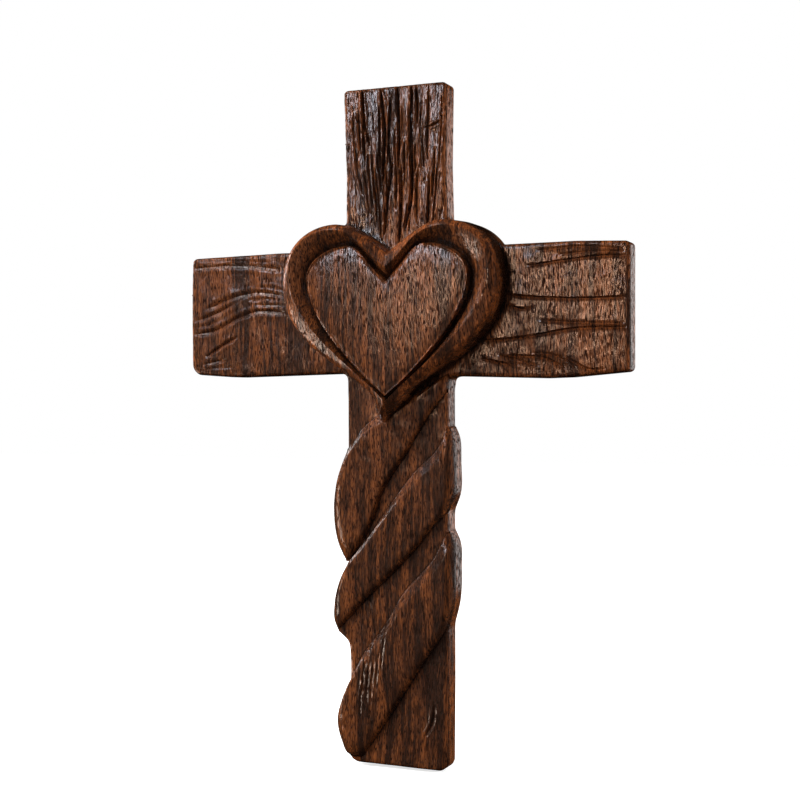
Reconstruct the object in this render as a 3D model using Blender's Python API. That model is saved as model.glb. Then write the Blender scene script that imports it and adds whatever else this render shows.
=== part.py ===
"""Carved walnut wall cross: a raised heart on the crossing and three flat strands wound round the stem.

Metres, +Z up. The flat back lies in the plane Y = 0, against the wall, and the carving faces -Y.
The origin is on the back, behind the middle of the heart. Run with blender --background --python part.py
"""
import math

import bmesh
import bpy
import numpy as np
from mathutils import Matrix

MM = 0.001

# Board: the plain cross that carries the carving
BOARD_THICKNESS = 10.5 * MM
TOP_REACH = 102.5 * MM
FOOT_REACH = 200.2 * MM
ARM_REACH = 105.0 * MM
ARM_RISE = 30.0 * MM
ARM_DROP = 26.0 * MM
STEM_HALF = 23.8 * MM
EDGE_ROUND = 1.5 * MM
END_CORNER = 2.2 * MM
WORN_CORNER = 5.0 * MM
FOOT_CORNER = 4.5 * MM
INNER_CORNER = 2.5 * MM
HAND_WAVE = 1.0 * MM
BACK_STOCK = 1.0 * MM

# Heart: heights are measured up from the front of the board
HEART_WIDTH = 103.0 * MM
HEART_HEIGHT = 89.6 * MM
HEART_DRAFT = 1.1 * MM
HEART_WALL_RISE = 10.8 * MM
HEART_CREST_RISE = 13.9 * MM
HEART_GROOVE_RISE = 10.9 * MM
HEART_PILLOW_RISE = 14.5 * MM
GROOVE_WIDTH = 0.5 * MM
PILLOW_LIP = 0.8 * MM

# Strands: heights are measured up from the front of the board
STRAND_RISE = 4.6 * MM
STRAND_LIP_RISE = 2.3 * MM
STRAND_SIDE_HEIGHT = 8.5 * MM
STRAND_ROUND = 6.5 * MM

# Bark lines cut in the arms
LINE_WIDTH = 2.6 * MM
LINE_DEPTH = 0.9 * MM

# Keyhole slot in the back for a countersunk screw
KEY_ENTRY_RADIUS = 5.0 * MM
KEY_HEAD_RADIUS = 4.6 * MM
KEY_NECK_RADIUS = 2.3 * MM
KEY_SKIN = 2.2 * MM
KEY_DEPTH = 7.0 * MM
KEY_TRAVEL = 13.0 * MM
KEY_PLACE = 66.0 * MM

# The heart's three lines, from the notch by the lobe and the side to the tip, as Bezier points.
# Shares of the half width and of the height, on the right half.
HEART_OUTER = [(0, .307), (.157, .379), (.373, .465), (.490, .465), (.720, .465),
               (1, .385), (1, .173), (1, -.218), (.127, -.257), (0, -.531)]
HEART_CREST = [(0, .237), (.182, .304), (.235, .426), (.517, .426), (.720, .426),
               (.922, .358), (.922, .206), (.922, -.042), (.216, -.302), (0, -.446)]
HEART_GROOVE = [(0, .173), (.208, .272), (.225, .352), (.396, .352), (.475, .352),
                (.759, .307), (.759, .189), (.759, -.027), (.140, -.350), (0, -.391)]
HEART_STEPS = (9, 10, 15)

# The strands' four edges: upper and lower run from right to left, and the two sides run down.
# Shares of the stem's half width and of the drop from the origin to the foot.
STRANDS = {
    "first": {
        "upper": [(1.02, .127), (.58, .158), (0, .198), (-.40, .222), (-.65, .245), (-.89, .281), (-1.04, .302)],
        "lower": [(.97, .170), (.64, .220), (.20, .302), (-.25, .381), (-.55, .471), (-.80, .516), (-1.05, .550)],
        "right": [(1.02, .127), (1.02, .148), (.97, .170)],
        "left": [(-1.04, .302), (-1.25, .372), (-1.31, .440), (-1.20, .514), (-1.05, .550)],
    },
    "second": {
        "upper": [(1.02, .243), (.85, .287), (.35, .346), (-.13, .419), (-.60, .496), (-1.05, .560)],
        "lower": [(.99, .432), (.78, .455), (.43, .507), (-.10, .571), (-.66, .634), (-1.11, .707)],
        "right": [(1.02, .243), (1.09, .262), (1.13, .323), (1.12, .392), (.99, .432)],
        "left": [(-1.05, .560), (-1.22, .605), (-1.31, .648), (-1.24, .692), (-1.11, .707)],
    },
    "third": {
        "upper": [(1.02, .472), (.74, .533), (.14, .613), (-.24, .687), (-.65, .750), (-.98, .824)],
        "lower": [(1.0, .684), (.55, .761), (.15, .834), (-.32, .919), (-.72, .985)],
        "right": [(1.02, .472), (1.11, .495), (1.14, .555), (1.12, .625), (1.0, .684)],
        "left": [(-.98, .824), (-1.16, .872), (-1.23, .905), (-1.14, .948), (-.99, .978), (-.72, .985)],
    },
}
# Across a strand from its upper to its lower edge: share of the width, share of the full rise.
# A raised lip comes first, then a shallow fold, and the broad back of the strand.
STRAND_SECTION = [(0, .22), (.03, .48), (.07, .50), (.11, .38), (.17, .66), (.24, .67),
                  (.38, .80), (.55, .93), (.72, 1), (.86, .98), (.95, .87), (1, .68)]
STRAND_STEPS = 22

# Bark lines as (across, up) shares: of the arm's reach and of its rise or drop for the arms,
# of the stem's half width and of the top arm's reach for the top, and of the drop for the stem.
ARM_LINES = [
    [(-.99, .82), (-.92, .84), (-.73, .84), (-.52, .74)],
    [(-.92, .18), (-.80, .34), (-.67, .42), (-.52, .35)],
    [(-.98, 0), (-.89, .08), (-.75, .31)],
    [(-.98, -.24), (-.87, -.16), (-.78, .01), (-.67, .13), (-.52, .11)],
    [(-.93, -.65), (-.82, -.40), (-.76, -.29)],
    [(-.94, -.79), (-.82, -.69)],
    [(.60, .70), (.74, .76), (.88, .80), (1.02, .78)],
    [(.49, .29), (.74, .20), (1.02, .21)],
    [(.48, .15), (.54, .08), (.61, .08)],
    [(.38, -.42), (.60, -.35), (.77, -.25), (1.0, -.25)],
    [(.37, -.70), (.46, -.79), (.54, -.85)],
    [(.50, -.68), (.65, -.73), (.74, -.92)],
    [(.72, -.69), (.83, -.90), (.91, -.92)],
]
TOP_LINES = [
    [(-.70, .99), (-.63, .83), (-.54, .74)],
    [(-.33, 1.02), (-.25, .81), (-.29, .56)],
    [(0, 1.02), (.04, .80), (.04, .68)],
    [(-.08, .69), (-.20, .50), (-.25, .42)],
    [(.30, 1.02), (.29, .67), (.28, .54), (.16, .44)],
    [(.09, .67), (.08, .48), (.03, .36)],
    [(.54, .82), (.90, .85)],
]
STEM_LINES = [[(.76, .848), (.71, .895), (.56, .931)]]


def clear_scene():
    """Removes every object that is in the scene."""
    for old in list(bpy.data.objects):
        bpy.data.objects.remove(old, do_unlink=True)


def new_collection(name):
    """Adds a collection to the scene."""
    made = bpy.data.collections.new(name)
    bpy.context.scene.collection.children.link(made)
    return made


def walnut():
    """Dark oiled walnut: brown, half glossy."""
    material = bpy.data.materials.new("dark_oiled_walnut")
    material.use_nodes = True
    shader = material.node_tree.nodes["Principled BSDF"]
    shader.inputs["Base Color"].default_value = (.075, .028, .014, 1)
    shader.inputs["Roughness"].default_value = .42
    shader.inputs["Metallic"].default_value = 0
    return material


def smooth_path(points, count):
    """Points evenly spread along a smooth curve through a few given ones."""
    given = np.array(points, float)
    steps = np.linalg.norm(np.diff(given, axis=0), axis=1)
    knots = np.concatenate([[0], np.cumsum(steps)])
    slopes = np.gradient(given, knots, axis=0)
    fine = np.linspace(0, knots[-1], 12 * len(given))
    span = np.clip(np.searchsorted(knots, fine, side="right") - 1, 0, len(given) - 2)
    length = steps[span][:, None]
    t = (fine[:, None] - knots[span][:, None]) / length
    curve = ((2 * t**3 - 3 * t**2 + 1) * given[span] + (t**3 - 2 * t**2 + t) * length * slopes[span]
             + (3 * t**2 - 2 * t**3) * given[span + 1] + (t**3 - t**2) * length * slopes[span + 1])
    walked = np.concatenate([[0], np.cumsum(np.linalg.norm(np.diff(curve, axis=0), axis=1))])
    wanted = np.linspace(0, walked[-1], count) if np.isscalar(count) else np.asarray(count) * walked[-1]
    return np.stack([np.interp(wanted, walked, curve[:, axis]) for axis in range(curve.shape[1])], axis=1)


def rounded(corners, step=math.radians(22)):
    """A closed outline of corners (x, z, radius), each turned by an arc."""
    outline = []
    for index, (x, z, radius) in enumerate(corners):
        here = np.array([x, z])
        back = np.array(corners[index - 1][:2]) - here
        ahead = np.array(corners[(index + 1) % len(corners)][:2]) - here
        back, ahead = back / np.linalg.norm(back), ahead / np.linalg.norm(ahead)
        half = math.acos(float(np.clip(back @ ahead, -1, 1))) / 2
        turn = math.pi - 2 * half
        middle = here + (back + ahead) / np.linalg.norm(back + ahead) * radius / math.sin(half)
        start = here + back * radius / math.tan(half) - middle
        sense = math.copysign(1, back[0] * ahead[1] - back[1] * ahead[0])
        pieces = max(1, math.ceil(turn / step))
        for piece in range(pieces + 1):
            angle = -sense * turn * piece / pieces
            outline.append(middle + (start[0] * math.cos(angle) - start[1] * math.sin(angle),
                                     start[0] * math.sin(angle) + start[1] * math.cos(angle)))
    return outline


def curve_to_mesh(curve_object, collection):
    """Replaces a curve object by a mesh object of the same shape and place, with welded caps."""
    evaluated = curve_object.evaluated_get(bpy.context.evaluated_depsgraph_get())
    mesh = bpy.data.meshes.new_from_object(evaluated)
    mesh.transform(curve_object.matrix_world)
    shape = bmesh.new()
    shape.from_mesh(mesh)
    bmesh.ops.remove_doubles(shape, verts=shape.verts, dist=.005 * MM)
    bmesh.ops.recalc_face_normals(shape, faces=shape.faces)
    shape.to_mesh(mesh)
    shape.free()
    name = curve_object.name
    bpy.data.objects.remove(curve_object, do_unlink=True)
    made = bpy.data.objects.new(name, mesh)
    collection.objects.link(made)
    return made


def slab(name, outline, near, far, collection):
    """A flat outline in X and Z made thick, from the depth near to the depth far behind the carved side."""
    curve = bpy.data.curves.new(name, "CURVE")
    curve.dimensions = "2D"
    curve.fill_mode = "BOTH"
    curve.extrude = (far - near) / 2
    spline = curve.splines.new("POLY")
    spline.points.add(len(outline) - 1)
    for point, (x, z) in zip(spline.points, outline):
        point.co = (x, z, 0, 1)
    spline.use_cyclic_u = True
    made = bpy.data.objects.new(name, curve)
    made.matrix_world = Matrix.Translation((0, -(near + far) / 2, 0)) @ Matrix.Rotation(math.pi / 2, 4, "X")
    collection.objects.link(made)
    bpy.context.view_layer.update()
    return curve_to_mesh(made, collection)


def boolean(target, operand, operation):
    """Joins or cuts the target with the operand at once and keeps the result as the target's mesh."""
    modifier = target.modifiers.new(operation.lower(), "BOOLEAN")
    modifier.operation = operation
    modifier.solver = "EXACT"
    modifier.object = operand
    bpy.context.view_layer.update()
    evaluated = target.evaluated_get(bpy.context.evaluated_depsgraph_get())
    mesh = bpy.data.meshes.new_from_object(evaluated)
    target.modifiers.remove(modifier)
    target.data = mesh


def closed_mesh(name, rings, collection):
    """A loft through rings of as many points each, closed by its first and last ring."""
    shape = bmesh.new()
    rows = [[shape.verts.new(point) for point in ring] for ring in rings]
    count = len(rows[0])
    for lower, upper in zip(rows, rows[1:]):
        for index in range(count):
            following = (index + 1) % count
            shape.faces.new((lower[index], lower[following], upper[following], upper[index]))
    shape.faces.new(rows[0])
    shape.faces.new(rows[-1])
    bmesh.ops.recalc_face_normals(shape, faces=shape.faces)
    mesh = bpy.data.meshes.new(name)
    shape.to_mesh(mesh)
    shape.free()
    made = bpy.data.objects.new(name, mesh)
    collection.objects.link(made)
    return made


def board_corners():
    """The board's corners, clockwise from the top left, with the slight waves of a hand-cut edge."""
    left, right = -STEM_HALF - 1.3 * HAND_WAVE, STEM_HALF - HAND_WAVE
    wave_radius = 40 * HAND_WAVE
    mid_top = (TOP_REACH + ARM_RISE) / 2
    return [
        (left - 1.3 * HAND_WAVE, TOP_REACH, END_CORNER),
        (right + HAND_WAVE / 2, TOP_REACH + HAND_WAVE / 3, END_CORNER),
        (right, mid_top, wave_radius),
        (right + HAND_WAVE, ARM_RISE, INNER_CORNER),
        (ARM_REACH * .78, ARM_RISE + HAND_WAVE / 2, wave_radius),
        (ARM_REACH, ARM_RISE - HAND_WAVE / 3, END_CORNER),
        (ARM_REACH, -ARM_DROP + HAND_WAVE, END_CORNER),
        (ARM_REACH * .70, -ARM_DROP - 1.8 * HAND_WAVE, wave_radius),
        (STEM_HALF, -ARM_DROP - HAND_WAVE / 2, INNER_CORNER),
        (STEM_HALF + HAND_WAVE / 3, -.80 * FOOT_REACH, wave_radius),
        (STEM_HALF, -FOOT_REACH, FOOT_CORNER),
        (-STEM_HALF, -FOOT_REACH + HAND_WAVE / 2, END_CORNER),
        (-STEM_HALF + HAND_WAVE, -.78 * FOOT_REACH, wave_radius),
        (-STEM_HALF - HAND_WAVE / 2, -ARM_DROP + HAND_WAVE, INNER_CORNER),
        (-ARM_REACH * .78, -ARM_DROP - HAND_WAVE / 2, wave_radius),
        (-ARM_REACH + HAND_WAVE / 2, -ARM_DROP + HAND_WAVE, WORN_CORNER),
        (-ARM_REACH, ARM_RISE * .3, wave_radius),
        (-ARM_REACH + HAND_WAVE / 2, ARM_RISE - HAND_WAVE / 2, END_CORNER),
        (-ARM_REACH * .55, ARM_RISE + HAND_WAVE / 2, wave_radius),
        (left, ARM_RISE, INNER_CORNER),
        (left, mid_top, wave_radius),
    ]


def make_board(collection):
    """The plain cross, sawn from one board, with its front edges rounded over."""
    board = slab("carved_cross", rounded(board_corners()), -BACK_STOCK, BOARD_THICKNESS, collection)
    shape = bmesh.new()
    shape.from_mesh(board.data)
    bmesh.ops.dissolve_limit(shape, angle_limit=math.radians(1), verts=shape.verts, edges=shape.edges)
    front = [edge for edge in shape.edges
             if edge.calc_face_angle(0) > math.radians(80) and edge.verts[0].co.y < 0]
    bmesh.ops.bevel(shape, geom=front, offset=EDGE_ROUND, segments=3, profile=.5, affect="EDGES")
    shape.to_mesh(board.data)
    shape.free()
    return board


def heart_half(line):
    """One of the heart's lines on the right half, from the notch to the tip, in metres."""
    controls = np.array(line, float) * (HEART_WIDTH / 2, HEART_HEIGHT)
    points = [controls[0]]
    for part, steps in enumerate(HEART_STEPS):
        a, b, c, d = controls[3 * part:3 * part + 4]
        for step in range(1, steps + 1):
            t = step / steps
            points.append((1 - t)**3 * a + 3 * (1 - t)**2 * t * b + 3 * (1 - t) * t**2 * c + t**3 * d)
    return np.array(points)


def heart_ring(half, height):
    """A closed ring round the heart at one height, from a line of its right half."""
    left = half[-2:0:-1] * (-1, 1)
    both = np.concatenate([half, left])
    return [(x, -height, z) for x, z in both]


def make_heart(collection):
    """The heart: a ring with a rounded crest that slopes in to a groove, round a pillow."""
    outer, crest, groove = (heart_half(line) for line in (HEART_OUTER, HEART_CREST, HEART_GROOVE))
    half_width = HEART_WIDTH / 2
    inner_half = half_width * HEART_GROOVE[6][0]
    front = BOARD_THICKNESS
    rise = HEART_CREST_RISE - HEART_WALL_RISE
    fall = HEART_CREST_RISE - HEART_GROOVE_RISE
    swell = HEART_PILLOW_RISE - HEART_GROOVE_RISE

    def inset(line, distance, width):
        return line * (1 - distance / width)

    def between(first, second, share):
        return first + (second - first) * share

    wall_top = inset(outer, HEART_DRAFT, half_width)
    stations = [
        (outer, -3 * BACK_STOCK),
        (outer, front - EDGE_ROUND),
        (wall_top, front + HEART_WALL_RISE),
        (between(wall_top, crest, .20), front + HEART_WALL_RISE + rise * .42),
        (between(wall_top, crest, .55), front + HEART_WALL_RISE + rise * .82),
        (crest, front + HEART_CREST_RISE),
        (between(crest, groove, .22), front + HEART_GROOVE_RISE + fall * .93),
        (between(crest, groove, .50), front + HEART_GROOVE_RISE + fall * .66),
        (between(crest, groove, .78), front + HEART_GROOVE_RISE + fall * .28),
        (groove, front + HEART_GROOVE_RISE),
        (inset(groove, GROOVE_WIDTH, inner_half), front + HEART_GROOVE_RISE),
        (inset(groove, GROOVE_WIDTH + PILLOW_LIP * .5, inner_half), front + HEART_GROOVE_RISE + swell * .45),
        (inset(groove, GROOVE_WIDTH + PILLOW_LIP * 1.6, inner_half), front + HEART_GROOVE_RISE + swell * .68),
        (groove * .86, front + HEART_GROOVE_RISE + swell * .86),
        (groove * .70, front + HEART_GROOVE_RISE + swell * .96),
        (groove * .45, front + HEART_PILLOW_RISE),
    ]
    rings = [heart_ring(half, height) for half, height in stations]
    return closed_mesh("heart", rings, collection)


def strand_stations():
    """Where the strand's cross sections stand along it, close together where its ends turn over."""
    ends = [0, .004, .014, .032, .06, .10]
    middle = np.linspace(.15, .85, STRAND_STEPS - 2 * len(ends))
    return np.concatenate([ends, middle, [1 - share for share in reversed(ends)]])


def strand_surface(edges):
    """Points over one strand: it spans its four edges, and its ends turn down to the sides."""
    scale = np.array((STEM_HALF, -FOOT_REACH))
    along = strand_stations()
    across = np.array([share for share, _ in STRAND_SECTION])
    section = np.array([rise for _, rise in STRAND_SECTION])
    upper, lower = (smooth_path(np.array(edges[side]) * scale, along) for side in ("upper", "lower"))
    right, left = (smooth_path(np.array(edges[side]) * scale, across) for side in ("right", "left"))
    lip = STRAND_LIP_RISE / STRAND_RISE
    section = np.where(across < .1, section * lip / .5, section)
    rows = []
    for s, top_point, low_point in zip(along, upper, lower):
        row = []
        for w, share, right_point, left_point in zip(across, section, right, left):
            corner = ((1 - s) * (1 - w) * upper[0] + s * (1 - w) * upper[-1]
                      + (1 - s) * w * lower[0] + s * w * lower[-1])
            place = (1 - w) * top_point + w * low_point + (1 - s) * right_point + s * left_point - corner
            length = (1 - w) * polyline_length(upper) + w * polyline_length(lower)
            from_end = min(s, 1 - s) * length
            turn = math.sqrt(1 - (1 - min(1, from_end / STRAND_ROUND))**2)
            full = BOARD_THICKNESS + STRAND_RISE * share
            height = STRAND_SIDE_HEIGHT + (full - STRAND_SIDE_HEIGHT) * turn
            row.append((place[0], -height, place[1]))
        rows.append(row)
    return rows


def polyline_length(points):
    """Length of a row of points."""
    return float(np.linalg.norm(np.diff(points, axis=0), axis=1).sum())


def make_strand(name, edges, collection):
    """A strand as a closed solid, from the back of the board to its carved face."""
    rows = strand_surface(edges)
    shape = bmesh.new()
    top = [[shape.verts.new(point) for point in row] for row in rows]
    rim = ([row[0] for row in top] + top[-1][1:] + [row[-1] for row in reversed(top[:-1])]
           + top[0][-2:0:-1])
    foot = [shape.verts.new((vert.co.x, 2 * BACK_STOCK, vert.co.z)) for vert in rim]
    for near, far in zip(top, top[1:]):
        for index in range(len(near) - 1):
            shape.faces.new((near[index], near[index + 1], far[index + 1], far[index]))
    for index in range(len(rim)):
        following = (index + 1) % len(rim)
        shape.faces.new((rim[index], rim[following], foot[following], foot[index]))
    shape.faces.new(foot)
    bmesh.ops.recalc_face_normals(shape, faces=shape.faces)
    mesh = bpy.data.meshes.new(name)
    shape.to_mesh(mesh)
    shape.free()
    made = bpy.data.objects.new(name, mesh)
    collection.objects.link(made)
    return made


def plane_back(target):
    """Planes the stock off the back, so that it is one flat face in the plane Y = 0."""
    shape = bmesh.new()
    shape.from_mesh(target.data)
    everything = shape.verts[:] + shape.edges[:] + shape.faces[:]
    cut = bmesh.ops.bisect_plane(shape, geom=everything, plane_co=(0, 0, 0), plane_no=(0, 1, 0), clear_outer=True)
    rim = [item for item in cut["geom_cut"] if isinstance(item, bmesh.types.BMEdge)]
    bmesh.ops.holes_fill(shape, edges=rim)
    bmesh.ops.dissolve_degenerate(shape, dist=.02 * MM, edges=shape.edges)
    bmesh.ops.recalc_face_normals(shape, faces=shape.faces)
    shape.to_mesh(target.data)
    shape.free()


def make_line_cutter(name, points, collection):
    """A round gouge along a bark line that thins out towards its two ends."""
    half = LINE_WIDTH / 2
    radius = (half**2 + LINE_DEPTH**2) / (2 * LINE_DEPTH)
    lift = radius - LINE_DEPTH
    path = smooth_path(points, 7)
    curve = bpy.data.curves.new(name, "CURVE")
    curve.dimensions = "3D"
    curve.fill_mode = "FULL"
    curve.bevel_depth = radius
    curve.bevel_resolution = 2
    curve.use_fill_caps = True
    spline = curve.splines.new("POLY")
    spline.points.add(len(path) - 1)
    for index, (point, (x, z)) in enumerate(zip(spline.points, path)):
        taper = .84 + .16 * math.sin(math.pi * index / (len(path) - 1))
        point.co = (x, -BOARD_THICKNESS - lift, z, 1)
        point.radius = taper
    made = bpy.data.objects.new(name, curve)
    collection.objects.link(made)
    bpy.context.view_layer.update()
    return curve_to_mesh(made, collection)


def bark_lines():
    """Every bark line as points in X and Z."""
    for line in ARM_LINES:
        yield [(x * ARM_REACH, z * (ARM_RISE if z > 0 else ARM_DROP)) for x, z in line]
    for line in TOP_LINES:
        yield [(x * STEM_HALF, z * TOP_REACH) for x, z in line]
    for line in STEM_LINES:
        yield [(x * STEM_HALF, -z * FOOT_REACH) for x, z in line]


def slot_outline(radius, travel):
    """A slot with round ends that runs up from the keyhole's entry."""
    outline = []
    for centre, start in ((KEY_PLACE + travel, 0), (KEY_PLACE, math.pi)):
        for step in range(9):
            angle = start + math.pi * step / 8
            outline.append((radius * math.cos(angle), centre + radius * math.sin(angle)))
    return outline


def circle_outline(radius, sides=20):
    """The keyhole's round entry."""
    return [(radius * math.cos(2 * math.pi * side / sides), KEY_PLACE + radius * math.sin(2 * math.pi * side / sides))
            for side in range(sides)]


def keyhole_cutters(collection):
    """The entry for the screw's head, the narrow neck above it and the wider channel behind the neck."""
    channel_height = KEY_DEPTH - KEY_SKIN
    entry_end = KEY_SKIN + channel_height * .6
    neck_end = KEY_SKIN + channel_height * .3
    return [
        slab("keyhole_entry", circle_outline(KEY_ENTRY_RADIUS), -KEY_SKIN, entry_end, collection),
        slab("keyhole_channel", slot_outline(KEY_HEAD_RADIUS, KEY_TRAVEL), KEY_SKIN, KEY_DEPTH, collection),
        slab("keyhole_neck", slot_outline(KEY_NECK_RADIUS, KEY_TRAVEL), -KEY_SKIN, neck_end, collection),
    ]


def hide_cutters(cutters):
    """Shows the cutters as wires and keeps them out of a picture."""
    for cutter in cutters:
        cutter.hide_render = True
        cutter.display_type = "WIRE"


def main():
    """Builds the cross."""
    clear_scene()
    parts = new_collection("wooden_heart_cross")
    tools = new_collection("cutters")
    cross = make_board(parts)
    additions = [make_strand(name, edges, tools) for name, edges in STRANDS.items()]
    additions.append(make_heart(tools))
    for addition in additions:
        boolean(cross, addition, "UNION")
    plane_back(cross)
    cutters = [make_line_cutter(f"bark_line_{index}", points, tools)
               for index, points in enumerate(bark_lines())]
    cutters += keyhole_cutters(tools)
    for cutter in cutters:
        boolean(cross, cutter, "DIFFERENCE")
    hide_cutters(additions + cutters)
    cross.data.materials.clear()
    cross.data.materials.append(walnut())
    cross.data.shade_smooth()
    cross.data.set_sharp_from_angle(angle=math.radians(35))


main()
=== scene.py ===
"""Carved walnut wall cross: a raised heart on the crossing and three flat strands wound round the stem.

The cross is one piece of wood. Its carved face is laid out as a plan in X and Z, in millimetres, with a
height above the flat back for every point. The plan is then triangulated, given side walls and a back, and
finished.
"""
import logging
import math
from dataclasses import dataclass, field
from enum import Enum

import bpy
import numpy as np
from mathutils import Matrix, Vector
from mathutils.geometry import delaunay_2d_cdt
from mathutils.kdtree import KDTree


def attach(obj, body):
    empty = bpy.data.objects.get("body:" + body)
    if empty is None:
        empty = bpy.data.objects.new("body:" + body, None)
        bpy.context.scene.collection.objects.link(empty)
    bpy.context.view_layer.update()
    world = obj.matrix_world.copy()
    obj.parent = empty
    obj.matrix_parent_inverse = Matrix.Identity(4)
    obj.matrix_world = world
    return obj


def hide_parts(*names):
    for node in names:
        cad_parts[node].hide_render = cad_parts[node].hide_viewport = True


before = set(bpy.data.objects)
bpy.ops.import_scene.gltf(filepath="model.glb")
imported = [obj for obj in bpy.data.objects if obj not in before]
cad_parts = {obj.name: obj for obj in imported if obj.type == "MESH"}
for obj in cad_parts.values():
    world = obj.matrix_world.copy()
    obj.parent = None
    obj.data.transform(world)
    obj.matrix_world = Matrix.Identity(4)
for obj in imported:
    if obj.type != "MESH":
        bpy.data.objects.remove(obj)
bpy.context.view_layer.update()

MM = 0.001
TINY = 1e-12
CURVE_STEPS = 40          # steps of a smooth curve for each point given
POINTS_AT_ONCE = 4000     # points tested against an outline in one go
MESH_TOLERANCE = 1e-6     # points closer than this, in millimetres, are one in a triangulation
OUTLINE_TOLERANCE = 1e-5  # the same where whole outlines are joined
LOG = logging.getLogger("heart_cross")


class Form(Enum):
    """The carved forms, from the one on top to the one at the bottom."""

    HEART = 0
    FIRST_STRAND = 1
    SECOND_STRAND = 2
    THIRD_STRAND = 3
    BOARD = 4


class Join(Enum):
    """How the neighbours along a path are joined by edges that stay."""

    NONE = 0
    OPEN = 1
    CLOSED = 2


def smooth_path(points: list | np.ndarray, shares: int | np.ndarray) -> np.ndarray:
    """Runs a smooth curve through a few given points.

    Args:
        points: The given points, one row each.
        shares: How many points to return, or the shares of the length at which they stand.

    Returns:
        The points of the curve.
    """
    given = np.array(points, float)
    steps = np.linalg.norm(np.diff(given, axis=0), axis=1)
    knots = np.concatenate([[0], np.cumsum(steps)])
    slopes = np.gradient(given, knots, axis=0)
    fine = np.linspace(0, knots[-1], CURVE_STEPS * len(given))
    span = np.clip(np.searchsorted(knots, fine, side="right") - 1, 0, len(given) - 2)
    length = steps[span][:, None]
    t = (fine[:, None] - knots[span][:, None]) / length
    curve = ((2 * t**3 - 3 * t**2 + 1) * given[span] + (t**3 - 2 * t**2 + t) * length * slopes[span]
             + (3 * t**2 - 2 * t**3) * given[span + 1] + (t**3 - t**2) * length * slopes[span + 1])
    walked = walk(curve)
    if np.isscalar(shares):
        wanted = np.linspace(0, walked[-1], shares)
    else:
        wanted = np.asarray(shares) * walked[-1]
    return np.stack([np.interp(wanted, walked, curve[:, axis]) for axis in range(curve.shape[1])], axis=1)


def walk(path: np.ndarray) -> np.ndarray:
    """Returns the length walked along a path up to each of its points."""
    return np.concatenate([[0], np.cumsum(np.linalg.norm(np.diff(path, axis=0), axis=1))])


def even_path(path: np.ndarray, spacing: float, closed: bool = False) -> np.ndarray:
    """Spreads points evenly along a path.

    Args:
        path: The path's points.
        spacing: The wanted distance between neighbours.
        closed: Whether the path returns to its first point, which is then not repeated.

    Returns:
        The evenly spread points.
    """
    if closed:
        path = np.concatenate([path, path[:1]])
    walked = walk(path)
    count = max(2, round(walked[-1] / spacing) + 1)
    wanted = np.linspace(0, walked[-1], count)
    even = np.stack([np.interp(wanted, walked, path[:, axis]) for axis in range(2)], axis=1)
    return even[:-1] if closed else even


def offset_path(path: np.ndarray, distance: float, closed: bool) -> np.ndarray:
    """Moves a path sideways.

    Args:
        path: The path's points.
        distance: How far to move it, to the left of its run where positive.
        closed: Whether the path returns to its first point.

    Returns:
        The moved points.
    """
    if closed:
        along = np.roll(path, -1, axis=0) - np.roll(path, 1, axis=0)
    else:
        along = np.gradient(path, axis=0)
    along = along / np.maximum(np.linalg.norm(along, axis=1, keepdims=True), TINY)
    return path + distance * np.stack([-along[:, 1], along[:, 0]], axis=1)


def drawn_in(outline: np.ndarray, distance: float, least_run: float = .15, rounds: int = 20) -> np.ndarray:
    """Draws an outline in, less where its neighbours would cross.

    Args:
        outline: The anticlockwise outline.
        distance: How far to draw it in.
        least_run: The least share of its run that each step of the outline keeps.
        rounds: The most times that crossed points are put back.

    Returns:
        The smaller outline, point for point.
    """
    moved = offset_path(outline, distance, closed=True)
    run = np.roll(outline, -1, axis=0) - outline
    least = least_run * (run * run).sum(axis=1)
    for _ in range(rounds):
        turned = ((np.roll(moved, -1, axis=0) - moved) * run).sum(axis=1) <= least
        if not turned.any():
            break
        held = turned | np.roll(turned, 1)
        moved[held] = outline[held]
    return moved


def hollows_filled(outline: np.ndarray, rounds: int = 4) -> np.ndarray:
    """Eases the sharp hollow corners of an outline and leaves the rest of it as it is.

    Args:
        outline: The anticlockwise outline.
        rounds: How many times the hollow points move to the middle between their neighbours.

    Returns:
        The eased outline.
    """
    eased = outline.copy()
    for _ in range(rounds):
        middle = (np.roll(eased, 1, axis=0) + np.roll(eased, -1, axis=0)) / 2
        along = np.roll(eased, -1, axis=0) - np.roll(eased, 1, axis=0)
        outward = np.stack([along[:, 1], -along[:, 0]], axis=1)
        hollow = ((middle - eased) * outward).sum(axis=1) > 0
        eased[hollow] = middle[hollow]
    return eased


def inside(points: np.ndarray, outline: np.ndarray) -> np.ndarray:
    """Says of each point whether it lies within a closed outline.

    Args:
        points: The points to test.
        outline: The outline's points.

    Returns:
        True or False for each point.
    """
    found = np.zeros(len(points), bool)
    low, high = outline.min(axis=0), outline.max(axis=0)
    near = np.flatnonzero(((points >= low) & (points <= high)).all(axis=1))
    start, end = outline, np.roll(outline, -1, axis=0)
    for part in np.array_split(near, max(1, len(near) // POINTS_AT_ONCE)):
        x, z = points[part, 0][:, None], points[part, 1][:, None]
        crosses = (start[:, 1] > z) != (end[:, 1] > z)
        rise = end[:, 1] - start[:, 1]
        rise = np.where(np.abs(rise) < TINY, TINY, rise)
        at = start[:, 0] + (z - start[:, 1]) * (end[:, 0] - start[:, 0]) / rise
        found[part] = ((crosses & (x < at)).sum(axis=1) % 2).astype(bool)
    return found


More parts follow.
